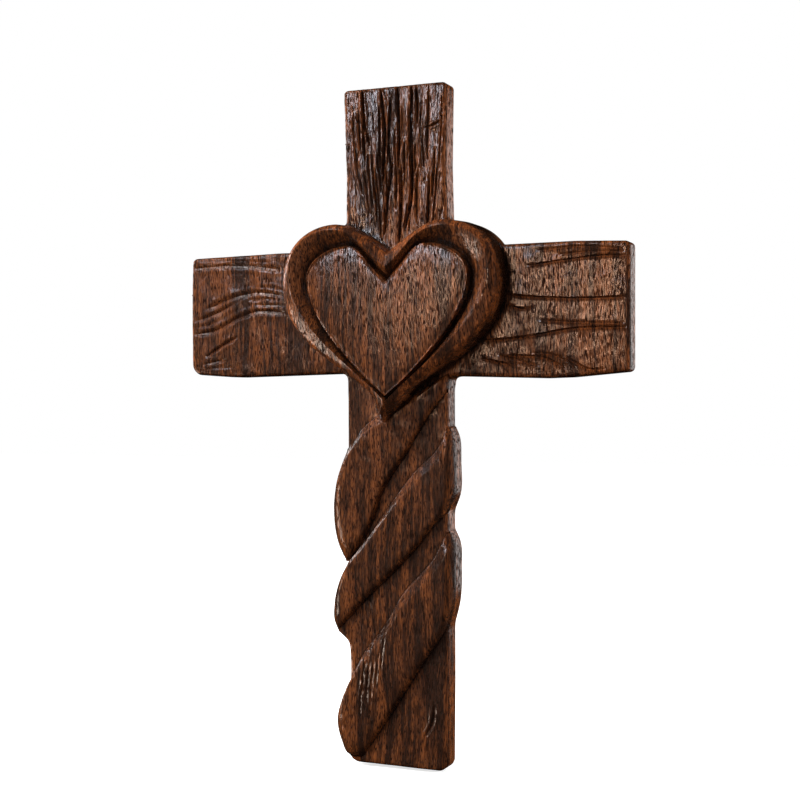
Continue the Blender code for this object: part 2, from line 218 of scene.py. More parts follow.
@dataclass(frozen=True)
class Swell:
    """A soft unevenness that hand work leaves.

    Args:
        height: Its height in millimetres.
        wavelength: The mean distance between its crests in millimetres.
        seed: What its random waves start from.
        upright: How close its crests lie along Z as a share of X; below 1 they run up the wood.
        waves: How many waves are added up.
        spread: The shortest and the longest wave as shares of the wavelength.
    """

    height: float
    wavelength: float
    seed: int
    upright: float = 1.0
    waves: int = 7
    spread: tuple[float, float] = (.6, 1.6)

    def at(self, points: np.ndarray) -> np.ndarray:
        """Adds the waves up.

        Args:
            points: The plan points.

        Returns:
            The swell's height at each point.
        """
        random = np.random.default_rng(self.seed)
        total = np.zeros(len(points))
        for _ in range(self.waves):
            angle = random.uniform(0, 2 * math.pi)
            size = self.wavelength * random.uniform(*self.spread)
            ahead = points[:, 0] * math.cos(angle) + self.upright * points[:, 1] * math.sin(angle)
            total += np.sin(2 * math.pi * ahead / size + random.uniform(0, 2 * math.pi))
        return self.height * (total / (self.waves / 2))


def total_swell(swells: tuple[Swell, ...], points: np.ndarray) -> np.ndarray:
    """Returns the height of several swells together at each point."""
    return sum(swell.at(points) for swell in swells)


def rounded(corners: list, step: float = math.radians(9)) -> np.ndarray:
    """Rounds the corners of a closed outline with arcs.

    Args:
        corners: Each corner as its X, Z and radius.
        step: The largest turn between two points of an arc.

    Returns:
        The outline's points, in the corners' order.
    """
    outline = []
    for index, (x, z, radius) in enumerate(corners):
        here = np.array([x, z])
        back = np.array(corners[index - 1][:2]) - here
        ahead = np.array(corners[(index + 1) % len(corners)][:2]) - here
        back, ahead = back / np.linalg.norm(back), ahead / np.linalg.norm(ahead)
        half = math.acos(float(np.clip(back @ ahead, -1, 1))) / 2
        turn = math.pi - 2 * half
        middle = here + (back + ahead) / np.linalg.norm(back + ahead) * radius / math.sin(half)
        start = here + back * radius / math.tan(half) - middle
        sense = math.copysign(1, back[0] * ahead[1] - back[1] * ahead[0])
        pieces = max(1, math.ceil(turn / step))
        for piece in range(pieces + 1):
            angle = -sense * turn * piece / pieces
            cosine, sine = math.cos(angle), math.sin(angle)
            turned = (start[0] * cosine - start[1] * sine, start[0] * sine + start[1] * cosine)
            outline.append(middle + turned)
    return np.array(outline)


@dataclass
class Board:
    """The plain cross, sawn from one board. Sizes in millimetres; its edges wave by shares of `wave`."""

    thickness: float = 10.5
    top_reach: float = 102.5
    foot_reach: float = 200.2
    arm_reach: float = 105.0
    arm_rise: float = 30.0
    arm_drop: float = 26.0
    stem_half: float = 23.8
    edge_round: float = 1.5
    end_corner: float = 2.2
    worn_corner: float = 5.0
    foot_corner: float = 4.5
    inner_corner: float = 2.5
    shoulder: float = 6.0
    wave: float = 1.0

    def outline(self, spacing: float) -> np.ndarray:
        """Draws the sawn outline with the slight waves of a hand-cut edge.

        Args:
            spacing: The distance between neighbouring points.

        Returns:
            The outline's points, anticlockwise.
        """
        stem, arm, wave = self.stem_half, self.arm_reach, self.wave
        left, right = -stem - 1.3 * wave, stem - wave
        soft = 40 * wave
        mid_top = (self.top_reach + self.arm_rise) / 2
        corners = [
            (left - 1.3 * wave, self.top_reach, self.end_corner),
            (right + wave / 2, self.top_reach + wave / 3, self.end_corner),
            (right, mid_top, soft),
            (right + wave, self.arm_rise, self.inner_corner),
            (arm * .78, self.arm_rise + wave / 2, soft),
            (arm, self.arm_rise - wave / 3, self.end_corner),
            (arm, -self.arm_drop + wave, self.end_corner),
            (arm * .70, -self.arm_drop - 1.8 * wave, 2.6 * soft),
            (stem, -self.arm_drop - wave / 2, self.inner_corner),
            (stem + wave / 3, -.80 * self.foot_reach, soft),
            (stem, -self.foot_reach, self.foot_corner),
            (-stem, -self.foot_reach + wave / 2, self.worn_corner),
            (-stem + wave, -.78 * self.foot_reach, soft),
            (-stem + wave / 4, -.729 * self.foot_reach, self.edge_round),
            (-stem - self.shoulder, -.704 * self.foot_reach, self.edge_round),
            (-stem + wave / 4, -.66 * self.foot_reach, self.edge_round),
            (-stem - wave / 2, -self.arm_drop + wave, self.inner_corner),
            (-arm * .78, -self.arm_drop - wave / 2, soft),
            (-arm + wave / 2, -self.arm_drop + wave, self.worn_corner),
            (-arm, self.arm_rise * .3, soft),
            (-arm + wave / 2, self.arm_rise - wave / 2, self.end_corner),
            (-arm * .55, self.arm_rise + wave / 2, soft),
            (left, self.arm_rise, self.inner_corner),
            (left, mid_top, soft),
        ]
        return even_path(rounded(corners)[::-1], spacing, closed=True)


# The heart's right half as three curves of four points each, in shares of its half width and its height.
HEART_OUTER = [(0, .307), (.157, .379), (.373, .465), (.490, .465), (.720, .465),
               (1, .385), (1, .173), (1, -.218), (.127, -.257), (0, -.531)]
HEART_CREST = [(0, .237), (.182, .304), (.235, .426), (.517, .426), (.720, .426),
               (.922, .358), (.922, .206), (.915, -.050), (.200, -.285), (0, -.424)]
HEART_GROOVE = [(0, .173), (.208, .272), (.225, .352), (.396, .352), (.475, .352),
                (.759, .307), (.759, .189), (.759, -.027), (.140, -.350), (0, -.404)]
# Where the heart's rings lie, as shares of its wall, of its rounding and of its inner slope.
WALL_SHARES = (.15, .4, .65, .9)
CREST_SHARES = np.linspace(.06, .94, 9)
SLOPE_SHARES = np.linspace(.03, .97, 18)
# The pillow's rings: the outer ones in millimetres from its edge, the inner ones as shares of its size.
PILLOW_INSETS = (0, .35, .8, 1.3, 1.9, 2.5, 3.2, 4, 5, 6, 7, 8)
PILLOW_SHARES = np.arange(.78, 0, -.022)
# The distance from the pillow's edge in millimetres, and the share of its swell that it has there.
PILLOW_SWELL = (
    [0, .35, .8, 1.3, 1.9, 2.5, 5, 9, 16, 40],
    [.12, .80, .92, .86, .85, .87, .93, .965, .985, 1],
)


def shrunk(half: np.ndarray, distance: float) -> np.ndarray:
    """Draws a line of the heart in towards its middle, by a distance at its side."""
    return half * (1 - distance / half[:, 0].max())


def bezier(points: np.ndarray, t: np.ndarray) -> np.ndarray:
    """Returns the points of a curve of four control points at the shares t, a column."""
    a, b, c, d = points
    return (1 - t)**3 * a + 3 * (1 - t)**2 * t * b + 3 * (1 - t) * t**2 * c + t**3 * d


@dataclass
class Heart:
    """The raised heart: a wall, a rounded crest that slopes in to a groove, and a pillow.

    Sizes are in millimetres, and each rise is over the board's front.

    Args:
        half_width: Half the width of the wall's foot.
        height: The unit of the heart's lines in Z, which is close to its height.
        draft: How far the wall leans in on its way up.
        wall_rise: The rise of the wall.
        crest_rise: The rise of the crest.
        crest_round: How quickly the rounding rises from the wall; 1 is straight, less is rounder.
        tip_rise: The rise of the wall at the tip.
        tip_start: How far below the middle the ring starts to change towards its tip.
        tip_length: How long it takes to do so.
        tip_spread: By which share the tip is wider than the lines say.
        tip_lean: How far the tip leans to the left.
        mitre_start: How far below the middle the ridge that runs down the tip starts.
        mitre_rise: The height of that ridge.
        mitre_half: The half width of that ridge.
        groove_rise: The rise of the bottom of the groove.
        pillow_rise: The rise of the pillow's middle.
        groove_width: The width of the groove's flat bottom.
        spacing: The distance between neighbouring points.
    """

    half_width: float = 51.5
    height: float = 89.6
    draft: float = 1.1
    wall_rise: float = 12.0
    crest_rise: float = 14.1
    crest_round: float = .55
    tip_rise: float = 7.6
    tip_start: float = 36.0
    tip_length: float = 8.0
    tip_spread: float = .9
    tip_lean: float = 3.9
    mitre_start: float = 36.5
    mitre_rise: float = .35
    mitre_half: float = .55
    groove_rise: float = 9.9
    pillow_rise: float = 14.4
    groove_width: float = .5
    spacing: float = .58

    def line(self, table: list, steps: int = 60) -> np.ndarray:
        """Draws one of the heart's lines.

        Args:
            table: The curves' points as shares.
            steps: How many points each curve gets.

        Returns:
            The line's right half, from the notch to the tip, in millimetres.
        """
        controls = np.array(table, float) * (self.half_width, self.height)
        t = np.linspace(0, 1, steps)[:, None]
        return np.concatenate([bezier(controls[first:first + 4], t)[first > 0:] for first in (0, 3, 6)])

    def ring(self, half: np.ndarray, spacing: float) -> np.ndarray:
        """Closes a right half to a whole ring, with its tip spread and leaning to the left.

        Args:
            half: The ring's right half, from the notch to the tip.
            spacing: The distance between neighbouring points.

        Returns:
            The ring, anticlockwise, with points at the notch and the tip.
        """
        even = even_path(half, spacing)
        ring = np.concatenate([even, even[-2:0:-1] * (-1, 1)])[::-1]
        near_tip = self.near_tip(ring[:, 1])
        ring[:, 0] = ring[:, 0] * (1 + self.tip_spread * near_tip) - self.tip_lean * near_tip
        return ring

    def near_tip(self, z: np.ndarray) -> np.ndarray:
        """Returns how far down each Z is on the way from the pillow's point to the tip, from 0 to 1."""
        share = np.clip((-z - self.tip_start) / self.tip_length, 0, 1)
        return share**2 * (3 - 2 * share)

    def mitre(self, points: np.ndarray) -> np.ndarray:
        """Returns the height at each point of the ridge down the tip, which leans as the tip does."""
        beside = points[:, 0] + self.tip_lean * self.near_tip(points[:, 1])
        return self.mitre_rise * np.exp(-(beside / self.mitre_half)**2)

    def stations(self, front: float) -> list[tuple[np.ndarray, float, float, bool]]:
        """Returns the heart's rings from the wall's foot to the middle.

        Args:
            front: The height of the board's front above its back.

        Returns:
            Each ring's right half, its height, its height at the tip, and whether it stays a crisp edge.
        """
        outer, crest, groove = (self.line(table) for table in (HEART_OUTER, HEART_CREST, HEART_GROOVE))
        wall = shrunk(outer, self.draft)
        found = [(outer, front, front, True)]
        for share in WALL_SHARES:
            found.append((outer + (wall - outer) * share, front + self.wall_rise * share,
                          front + self.tip_rise * share, False))
        found.append((wall, front + self.wall_rise, front + self.tip_rise, True))
        for share in CREST_SHARES:
            rise = self.wall_rise + (self.crest_rise - self.wall_rise) * share**self.crest_round
            at_tip = self.tip_rise + (self.crest_rise - self.tip_rise) * share
            found.append((wall + (crest - wall) * share, front + rise, front + at_tip, False))
        found.append((crest, front + self.crest_rise, front + self.crest_rise, True))
        fall = self.crest_rise - self.groove_rise
        for share in SLOPE_SHARES:
            slope = (1 - share + math.cos(math.pi / 2 * share)) / 2
            height = front + self.groove_rise + fall * slope
            found.append((crest + (groove - crest) * share, height, height, False))
        bottom = front + self.groove_rise
        found.append((groove, bottom, bottom, True))
        swell = self.pillow_rise - self.groove_rise
        rings = [(shrunk(groove, self.groove_width + inset), inset) for inset in PILLOW_INSETS]
        rings += [(groove * share, groove[:, 0].max() * (1 - share)) for share in PILLOW_SHARES]
        for ring, inset in rings:
            height = bottom + swell * float(np.interp(inset, *PILLOW_SWELL))
            found.append((ring, height, height, inset == 0))
        return found


# The shares of a strand's width from its upper edge on, and its rise over the board there in millimetres.
STRAND_SECTION = (
    [0, .012, .03, .05, .09, .125, .15, .18, .25, .40, .55, .70, .84, .92, .96, .985, 1],
    [.5, 1.7, 2.15, 2.2, 2.6, 3.0, 3.18, 3.22, 3.25, 3.2, 3.15, 3.05, 2.9, 2.65, 2.4, 1.9, 1.2],
)
# The shares near the upper edge that get points of their own, and the one whose points are joined to a ridge.
UPPER_COLUMNS = STRAND_SECTION[0][:8]
RIDGE_SHARE = .15
# Where the close rows at a strand's ends lie, in millimetres from the end.
END_STEPS = np.array([0, .12, .38, .75, 1.2])
# How finely a strand's edge and a bark line are drawn before their points are spread evenly.
EDGE_STEPS = 80
LINE_STEPS = 60


@dataclass
class Strand:
    """One flat strand that crosses the stem from the upper right to the lower left.

    Args:
        form: Which strand it is.
        upper: Its upper edge, like each edge in shares of the stem's half width and of the drop to the foot.
        lower: Its lower edge.
        right: Its right end.
        left: Its left end.
        half_width: The stem's half width in millimetres.
        drop: The drop from the heart's middle to the foot in millimetres.
        side_height: The height over the back at which its ends meet the side walls, in millimetres.
        end_round: The length over which its ends round off, in millimetres.
        first_step: How far from each end the even rows start, in millimetres.
        spacing: The distance between neighbouring points in millimetres.
    """

    form: Form
    upper: list
    lower: list
    right: list
    left: list
    half_width: float = 23.8
    drop: float = 200.2
    side_height: float = 8.5
    end_round: float = 6.5
    first_step: float = 1.75
    spacing: float = .58

    def edges(self) -> list[np.ndarray]:
        """Returns the four edges' given points in millimetres."""
        scale = np.array((self.half_width, -self.drop))
        return [np.array(edge) * scale for edge in (self.upper, self.lower, self.right, self.left)]

    def lengths(self) -> tuple[float, float]:
        """Returns the mean length along the strand and the mean width across it."""
        upper, lower, right, left = (walk(smooth_path(edge, EDGE_STEPS))[-1] for edge in self.edges())
        return (upper + lower) / 2, (right + left) / 2

    def grid(self, front: float) -> tuple[np.ndarray, np.ndarray]:
        """Spans the strand between its edges.

        Args:
            front: The height of the board's front above its back.

        Returns:
            The plan points and the heights, both in rows along the strand and columns across it.
        """
        length, width = self.lengths()
        ends = END_STEPS / length
        first = self.first_step / length
        middle = np.linspace(first, 1 - first, round(length / self.spacing))
        along = np.concatenate([ends, middle, 1 - ends[::-1]])
        across = np.unique(np.concatenate([np.linspace(0, 1, round(width / self.spacing)), UPPER_COLUMNS]))
        given = self.edges()
        upper, lower = (smooth_path(edge, along) for edge in given[:2])
        right, left = (smooth_path(edge, across) for edge in given[2:])
        s, w = along[:, None, None], across[None, :, None]
        corner = ((1 - s) * (1 - w) * upper[0] + s * (1 - w) * upper[-1]
                  + (1 - s) * w * lower[0] + s * w * lower[-1])
        plan = ((1 - w) * upper[:, None] + w * lower[:, None]
                + (1 - s) * right[None] + s * left[None] - corner)
        run = (1 - across) * walk(upper)[-1] + across * walk(lower)[-1]
        from_end = np.minimum(along, 1 - along)[:, None] * run[None]
        turn = np.sqrt(1 - (1 - np.minimum(1, from_end / self.end_round))**2)
        full = front + np.interp(across, *STRAND_SECTION)[None]
        return plan, self.side_height + (full - self.side_height) * turn


STRANDS = [
    Strand(
        Form.FIRST_STRAND,
        upper=[(1.02, .127), (.58, .158), (0, .198), (-.40, .222), (-.65, .245), (-.89, .281), (-1.04, .302)],
        lower=[(.97, .170), (.64, .220), (.20, .302), (-.25, .381), (-.55, .471), (-.80, .516),
               (-1.05, .550)],
        right=[(1.02, .127), (1.02, .148), (.97, .170)],
        left=[(-1.04, .302), (-1.25, .372), (-1.31, .440), (-1.20, .514), (-1.05, .550)],
    ),
    Strand(
        Form.SECOND_STRAND,
        upper=[(1.02, .243), (.85, .287), (.35, .346), (-.13, .419), (-.60, .496), (-1.05, .560)],
        lower=[(.99, .432), (.78, .455), (.43, .507), (-.10, .571), (-.66, .634), (-1.22, .706)],
        right=[(1.02, .243), (1.09, .262), (1.13, .323), (1.12, .392), (.99, .432)],
        left=[(-1.05, .560), (-1.22, .605), (-1.30, .648), (-1.295, .685), (-1.22, .706)],
    ),
    Strand(
        Form.THIRD_STRAND,
        upper=[(1.02, .472), (.74, .533), (.14, .613), (-.24, .687), (-.65, .750), (-.98, .824)],
        lower=[(1.0, .684), (.55, .761), (.15, .834), (-.32, .919), (-.72, .985)],
        right=[(1.02, .472), (1.11, .495), (1.14, .555), (1.12, .625), (1.0, .684)],
        left=[(-.98, .824), (-1.16, .872), (-1.23, .905), (-1.15, .952), (-1.02, .981), (-.72, .985)],
    ),
]


# How a cut rounds off as it runs out at its ends, and the least share of its width that it keeps there.
RUN_OUT_ROUND = .6
END_WIDTH = .45
# An upright cut: how its bottom rounds off and, in half widths, its lip's middle and width and its reach.
CUT_ROUND = .8
LIP_PLACE = 1.7
LIP_WIDTH = .7
LINE_REACH = 4
# A leaning cut: how much higher its lip is than an upright cut's, and the lip's width in millimetres.
LEANING_LIP = 1.8
LEANING_LIP_WIDTH = .5


@dataclass
class BarkLine:
    """A gouged line in the wood. Sizes in millimetres.

    Args:
        points: The points its middle runs through.
        depth: How deep it is cut.
        half_width: Half the width of an upright cut.
        lip: How far the wood beside it is raised.
        lean: Whether the cut leans, with a gentle slope above and a steep step below.
        step: The width of a leaning cut's steep side.
        slope: The width of its gentle side.
        run_out: The length over which it runs out at each end.
    """

    points: list
    depth: float = 1.1
    half_width: float = 1.0
    lip: float = .25
    lean: bool = False
    step: float = .40
    slope: float = .65
    run_out: float = 5.0

    def path(self, spacing: float = .5) -> np.ndarray:
        """Returns the line's middle as evenly spread points."""
        return even_path(smooth_path(self.points, LINE_STEPS), spacing)

    def carve(self, points: np.ndarray) -> np.ndarray:
        """Cuts the line.

        Args:
            points: The plan points.

        Returns:
            How far the line raises each point, below zero where it lowers it.
        """
        path = self.path()
        reach = LINE_REACH * self.half_width
        beside = (points > path.min(axis=0) - reach) & (points < path.max(axis=0) + reach)
        near = np.flatnonzero(beside.all(axis=1))
        change = np.zeros(len(points))
        if not len(near):
            return change
        apart = np.linalg.norm(points[near][:, None] - path[None], axis=2)
        nearest = apart.argmin(axis=1)
        distance = apart[np.arange(len(near)), nearest]
        share = nearest / (len(path) - 1)
        from_end = np.minimum(share, 1 - share) * walk(path)[-1]
        taper = np.clip(from_end / self.run_out, 0, 1)**RUN_OUT_ROUND
        if self.lean:
            along, away = np.gradient(path, axis=0)[nearest], points[near] - path[nearest]
            below = along[:, 0] * away[:, 1] - along[:, 1] * away[:, 0] < 0
            change[near] = self.leaning_cut(distance, below) * taper
        else:
            change[near] = self.upright_cut(distance, taper)
        return change

    def upright_cut(self, distance: np.ndarray, taper: np.ndarray) -> np.ndarray:
        """Returns how an upright cut raises points at a distance, where it is tapered by a share.

        Args:
            distance: The points' distance from its middle.
            taper: The share of its depth that it has there; below 1 it is narrower too.

        Returns:
            How far each point is raised.
        """
        width = self.half_width * (END_WIDTH + (1 - END_WIDTH) * taper)
        cut = -self.depth * taper * np.clip(1 - distance / width, 0, 1)**CUT_ROUND
        return cut + self.lip * taper * np.exp(-((distance - LIP_PLACE * width) / (LIP_WIDTH * width))**2)

    def leaning_cut(self, distance: np.ndarray, below: np.ndarray) -> np.ndarray:
        """Returns how a leaning cut raises points at a distance.

        Args:
            distance: The points' distance from its bottom.
            below: Whether each lies below it, on its steep side.

        Returns:
            How far each point is raised.
        """
        sloped = -self.depth * np.clip(1 - distance / self.slope, 0, 1)
        steep = -self.depth * np.clip(1 - distance / self.step, 0, 1)
        raised = LEANING_LIP * self.lip * np.exp(-((distance - self.step) / LEANING_LIP_WIDTH)**2)
        return np.where(below, steep + raised, sloped)


def tree_of(points: np.ndarray) -> KDTree:
    """Sorts plan points into a tree that finds the nearest ones quickly."""
    tree = KDTree(len(points))
    for index, (x, z) in enumerate(points):
        tree.insert((x, z, 0), index)
    tree.balance()
    return tree


# Space kept free round the plan, in gaps and in cells.
PLAN_MARGIN = 3


class Plan:
    """The plan of the carved face: points with heights, kept a little apart, and lines between them."""

    def __init__(self, gap: float, low: np.ndarray, high: np.ndarray) -> None:
        """Makes an empty plan.

        Args:
            gap: The least distance between two points.
            low: The lowest X and Z.
            high: The highest X and Z.
        """
        self.gap = gap
        self.cell = gap / math.sqrt(2)
        margin = PLAN_MARGIN * gap
        self.low = low - margin
        size = ((high + margin - self.low) / self.cell).astype(int) + PLAN_MARGIN
        self.taken = np.full(size, -1, int)
        self.points: list[np.ndarray] = []
        self.heights: list[np.ndarray] = []
        self.forms: list[np.ndarray] = []
        self.lines: list[tuple[int, int]] = []
        self.count = 0
        self.place = np.zeros(0, int)

    def free(self, points: np.ndarray) -> np.ndarray:
        """Looks whether points still have room, in the cells up to two away, which the gap can reach.

        Args:
            points: The plan points.

        Returns:
            For each point, whether nothing that is already in the plan lies within the gap.
        """
        cells = ((points - self.low) / self.cell).astype(int)
        known = np.concatenate(self.points) if self.points else np.zeros((0, 2))
        clear = np.ones(len(points), bool)
        for across in range(-2, 3):
            for up in range(-2, 3):
                at = cells + (across, up)
                other = self.taken[at[:, 0], at[:, 1]]
                found = other >= 0
                close = np.linalg.norm(points[found] - known[other[found]], axis=1) < self.gap
                clear[np.flatnonzero(found)[close]] = False
        return clear

    def add(self, points: np.ndarray, heights: float | np.ndarray, form: Form,
            join: Join, keep: np.ndarray | None = None) -> None:
        """Adds points, leaving out those that are too close to earlier ones.

        Args:
            points: The plan points.
            heights: Their heights above the back, or one height for all.
            form: The carved form they belong to.
            join: How neighbours are joined.
            keep: Which points may be added.
        """
        heights = np.broadcast_to(np.asarray(heights, float), (len(points),))
        allowed = self.free(points) if keep is None else self.free(points) & keep
        number = np.full(len(points), -1)
        chosen = np.flatnonzero(allowed)
        number[chosen] = self.count + np.arange(len(chosen))
        cells = ((points[chosen] - self.low) / self.cell).astype(int)
        self.taken[cells[:, 0], cells[:, 1]] = number[chosen]
        self.points.append(points[chosen])
        self.heights.append(heights[chosen])
        self.forms.append(np.full(len(chosen), form.value))
        self.count += len(chosen)
        if join is not Join.NONE:
            following = np.roll(number, -1)
            ends = len(points) if join is Join.CLOSED else len(points) - 1
            self.lines += [(a, b) for a, b in zip(number[:ends], following[:ends]) if a >= 0 and b >= 0]

    def triangulate(self) -> tuple[np.ndarray, np.ndarray, np.ndarray, np.ndarray]:
        """Joins the points to triangles.

        Returns:
            The points, their heights and forms, and the triangles, anticlockwise in plan.
        """
        points, heights, forms = (np.concatenate(rows) for rows in (self.points, self.heights, self.forms))
        made = delaunay_2d_cdt([Vector(point) for point in points], self.lines, [], 1, MESH_TOLERANCE)
        plan = np.array([tuple(point) for point in made[0]])
        source = np.array([origins[0] if origins else -1 for origins in made[3]])
        self.place = np.full(len(points), -1)
        self.place[source[source >= 0]] = np.flatnonzero(source >= 0)
        tree = tree_of(points)
        for index in np.flatnonzero(source < 0):
            source[index] = tree.find((*plan[index], 0))[1]
        return plan, heights[source], forms[source], np.array(made[2])


def union_outline(outlines: list[np.ndarray]) -> np.ndarray:
    """Joins several overlapping outlines.

    Args:
        outlines: The outlines' points.

    Returns:
        The outline round all of them, anticlockwise.
    """
    points, faces = [], []
    for outline in outlines:
        faces.append(list(range(len(points), len(points) + len(outline))))
        points += [Vector(point) for point in outline]
    made = delaunay_2d_cdt(points, [], faces, 1, OUTLINE_TOLERANCE)
    count = {}
    for triangle in made[2]:
        for index in range(len(triangle)):
            pair = (triangle[index], triangle[(index + 1) % len(triangle)])
            count[pair] = count.get(pair, 0) + 1
    ahead = {a: b for a, b in count if (b, a) not in count}
    loops = []
    while ahead:
        start, step = ahead.popitem()
        loop = [start]
        while step != start and step in ahead:
            loop.append(step)
            step = ahead.pop(step)
        loops.append(loop)
    longest = max(loops, key=len)
    return np.array([tuple(made[0][index]) for index in longest])


class HeightLookup:
    """Heights of one carved form, read from its own points."""

    def __init__(self, points: np.ndarray, heights: np.ndarray) -> None:
        """Keeps the form's points in a tree."""
        self.heights = heights
        self.tree = tree_of(points)

    def at(self, points: np.ndarray, neighbours: int = 4, softening: float = .02) -> np.ndarray:
        """Reads heights between the known ones.

        Args:
            points: The plan points.
            neighbours: How many of the nearest known points count.
            softening: What is added to their distances, in millimetres, so that none is zero.

        Returns:
            The height at each point.
        """
        found = np.empty(len(points))
        for row, (x, z) in enumerate(points):
            near = self.tree.find_n((x, z, 0), neighbours)
            weights = [1 / (distance + softening)**2 for _, _, distance in near]
            weighed = sum(weight * self.heights[index] for weight, (_, index, _) in zip(weights, near))
            found[row] = weighed / sum(weights)
        return found


# The main lines of the left arm, then those of the right arm, which lean.
ARM_LINES = [
    BarkLine([(-104, 24.6), (-97, 25.2), (-77, 25.3), (-55, 22.4)], .55, 1.3, .10),
    BarkLine([(-101, 28.0), (-80, 27.6), (-62, 26.0)], .25, 1.0, .05),
    BarkLine([(-97, 5.3), (-84, 10.1), (-70, 12.6), (-55, 10.6)], .60, 1.4, .12),
    BarkLine([(-72, 15.2), (-63, 14.6), (-54, 12.6)], .25, 1.0, .08),
    BarkLine([(-103, -.1), (-94, 2.4), (-79, 9.3)], .50, 1.2, .12),
    BarkLine([(-75, 9.3), (-66, 9.6), (-57, 9.0)], .40, 1.0, .08),
    BarkLine([(-72, 6.9), (-64, 6.6), (-55, 6.2)], .35, .9, .08),
    BarkLine([(-103, -6.4), (-91, -4.3), (-82, .2), (-71, 3.6), (-55, 3.0)], .65, 1.3, .12),
    BarkLine([(-103, -2.9), (-96, -2.0), (-90, .2)], .25, .9, .05),
    BarkLine([(-97, -16.9), (-86, -10.5), (-80, -7.7)], .85, 1.1, .10),
    BarkLine([(-99, -20.6), (-86, -18)], .50, 1.1, .10),
    BarkLine([(-101, -23.0), (-90, -21.8), (-80, -21.6)], .25, .9, .05),
    BarkLine([(64, 27), (87, 28), (103, 26.2)], .40, .8, .08, True),
    BarkLine([(72, 24.9), (88, 25.7), (104, 25.2)], .30, .7, .05, True),
    BarkLine([(60, 20.6), (78, 22.6), (93, 23.8), (104, 23.4)], .70, .9, .12, True),
    BarkLine([(51, 8.6), (64, 7.2), (78, 6.3), (104, 6.3)], .80, .8, .15, True),
    BarkLine([(51, 4.4), (57, 2.6), (63, 2.4)], .70, .7, .12, True),
    BarkLine([(40, -11), (52, -10.4), (63, -9.2), (81, -6.6), (104, -6.5)], .75, .8, .15, True),
    BarkLine([(65, -2.8), (84, -4.1), (103, -4.9)], .40, .6, .12, True),
    BarkLine([(39, -18.3), (48, -20.6), (57, -22)], .65, .8, .12, True),
    BarkLine([(47, -17.2), (56, -19.6), (66, -22.8)], .50, .7, .12, True),
    BarkLine([(52, -17.6), (60, -18), (69, -19.1), (78, -23.9)], .70, .8, .14, True),
    BarkLine([(62, -16.9), (71, -17.4), (79, -21.0), (83, -24.2)], .45, .7, .12, True),
    BarkLine([(75, -17.9), (81, -20.6), (87, -23.7), (95, -24)], .65, .8, .12, True),
]
# The main lines of the top arm.
TOP_LINES = [
    BarkLine([(-17, 103), (-15.4, 85), (-13, 76.5)], 1.4, .8, .2),
    BarkLine([(-8, 103), (-6, 83), (-7, 58.5)], 1.4, .8, .2),
    BarkLine([(0, 103), (1, 82.5), (1, 69.5)], 1.6, .9, .2),
    BarkLine([(-2, 69), (-4.8, 50), (-6, 36.5)], 1.5, .8, .2),
    BarkLine([(7, 103), (7, 69), (6.8, 55), (3.8, 38)], 1.7, .9, .2),
    BarkLine([(9.3, 103), (10, 85)], .7, .7),
    BarkLine([(13, 83.3), (17, 84), (21, 85.8)], .9, .7),
    BarkLine([(2, 68), (2, 49), (1, 32)], 1.5, .8, .2),
]


@dataclass(frozen=True)
class TopBark:
    """The many fine lines of the top arm, which gather towards the heart's notch. Sizes in millimetres."""

    count: int = 34
    left: float = -21.5
    right: float = 21.0
    top: float = 103.0
    stagger: float = 40.0
    lowest: float = 30.0
    lengths: tuple[float, float] = (14, 34)
    sway: float = .5
    depths: tuple[float, float] = (.4, .95)
    half_widths: tuple[float, float] = (.45, .8)
    lip: float = .12
    gather_height: float = 70.0
    gather_left: float = .4
    gather_right: float = .15
    gather_edge: float = 9.0
    bends: int = 4
    seed: int = 12

    def lines(self) -> list[BarkLine]:
        """Draws the lines, each of random place, length, depth and width.

        Returns:
            The lines from left to right.
        """
        random = np.random.default_rng(self.seed)
        lines = []
        for x in np.linspace(self.left, self.right, self.count):
            start = self.top - self.stagger * random.random()
            end = start - random.uniform(*self.lengths)
            levels = np.linspace(start, max(end, self.lowest), self.bends)
            pull = self.gather_left if x < self.gather_edge else self.gather_right
            gather = 1 - pull * ((self.top - levels) / self.gather_height)**2
            sway = random.uniform(-self.sway, self.sway, self.bends)
            points = list(zip((x + random.uniform(-self.sway, self.sway)) * gather + sway, levels))
            depth, half_width = random.uniform(*self.depths), random.uniform(*self.half_widths)
            lines.append(BarkLine(points, depth, half_width, self.lip))
        return lines


# The gouge mark on the foot.
STEM_LINES = [
    BarkLine([(18, -169.7), (17, -179.1), (13, -186.4)], .55, .8),
]
# The gouge marks on the lowest strand.
STRAND_LINES = [
    BarkLine([(-10.6, -142.5), (-12.0, -149), (-14.2, -158)], .50, .6, .12),
    BarkLine([(-12.9, -146), (-14.6, -157), (-15.6, -170)], .40, .5, .12),
    BarkLine([(-11.2, -149), (-12.6, -160), (-13.4, -173)], .45, .55, .12),
    BarkLine([(-9.4, -151), (-10.8, -163), (-11.4, -176)], .40, .5, .12),
    BarkLine([(-14.8, -160), (-16.2, -170), (-16.4, -181)], .40, .5, .12),
    BarkLine([(-7.0, -147), (-8.2, -157), (-9.0, -168)], .35, .5, .10),
    BarkLine([(-4.2, -139), (-5.6, -149), (-6.6, -158)], .35, .5, .10),
]


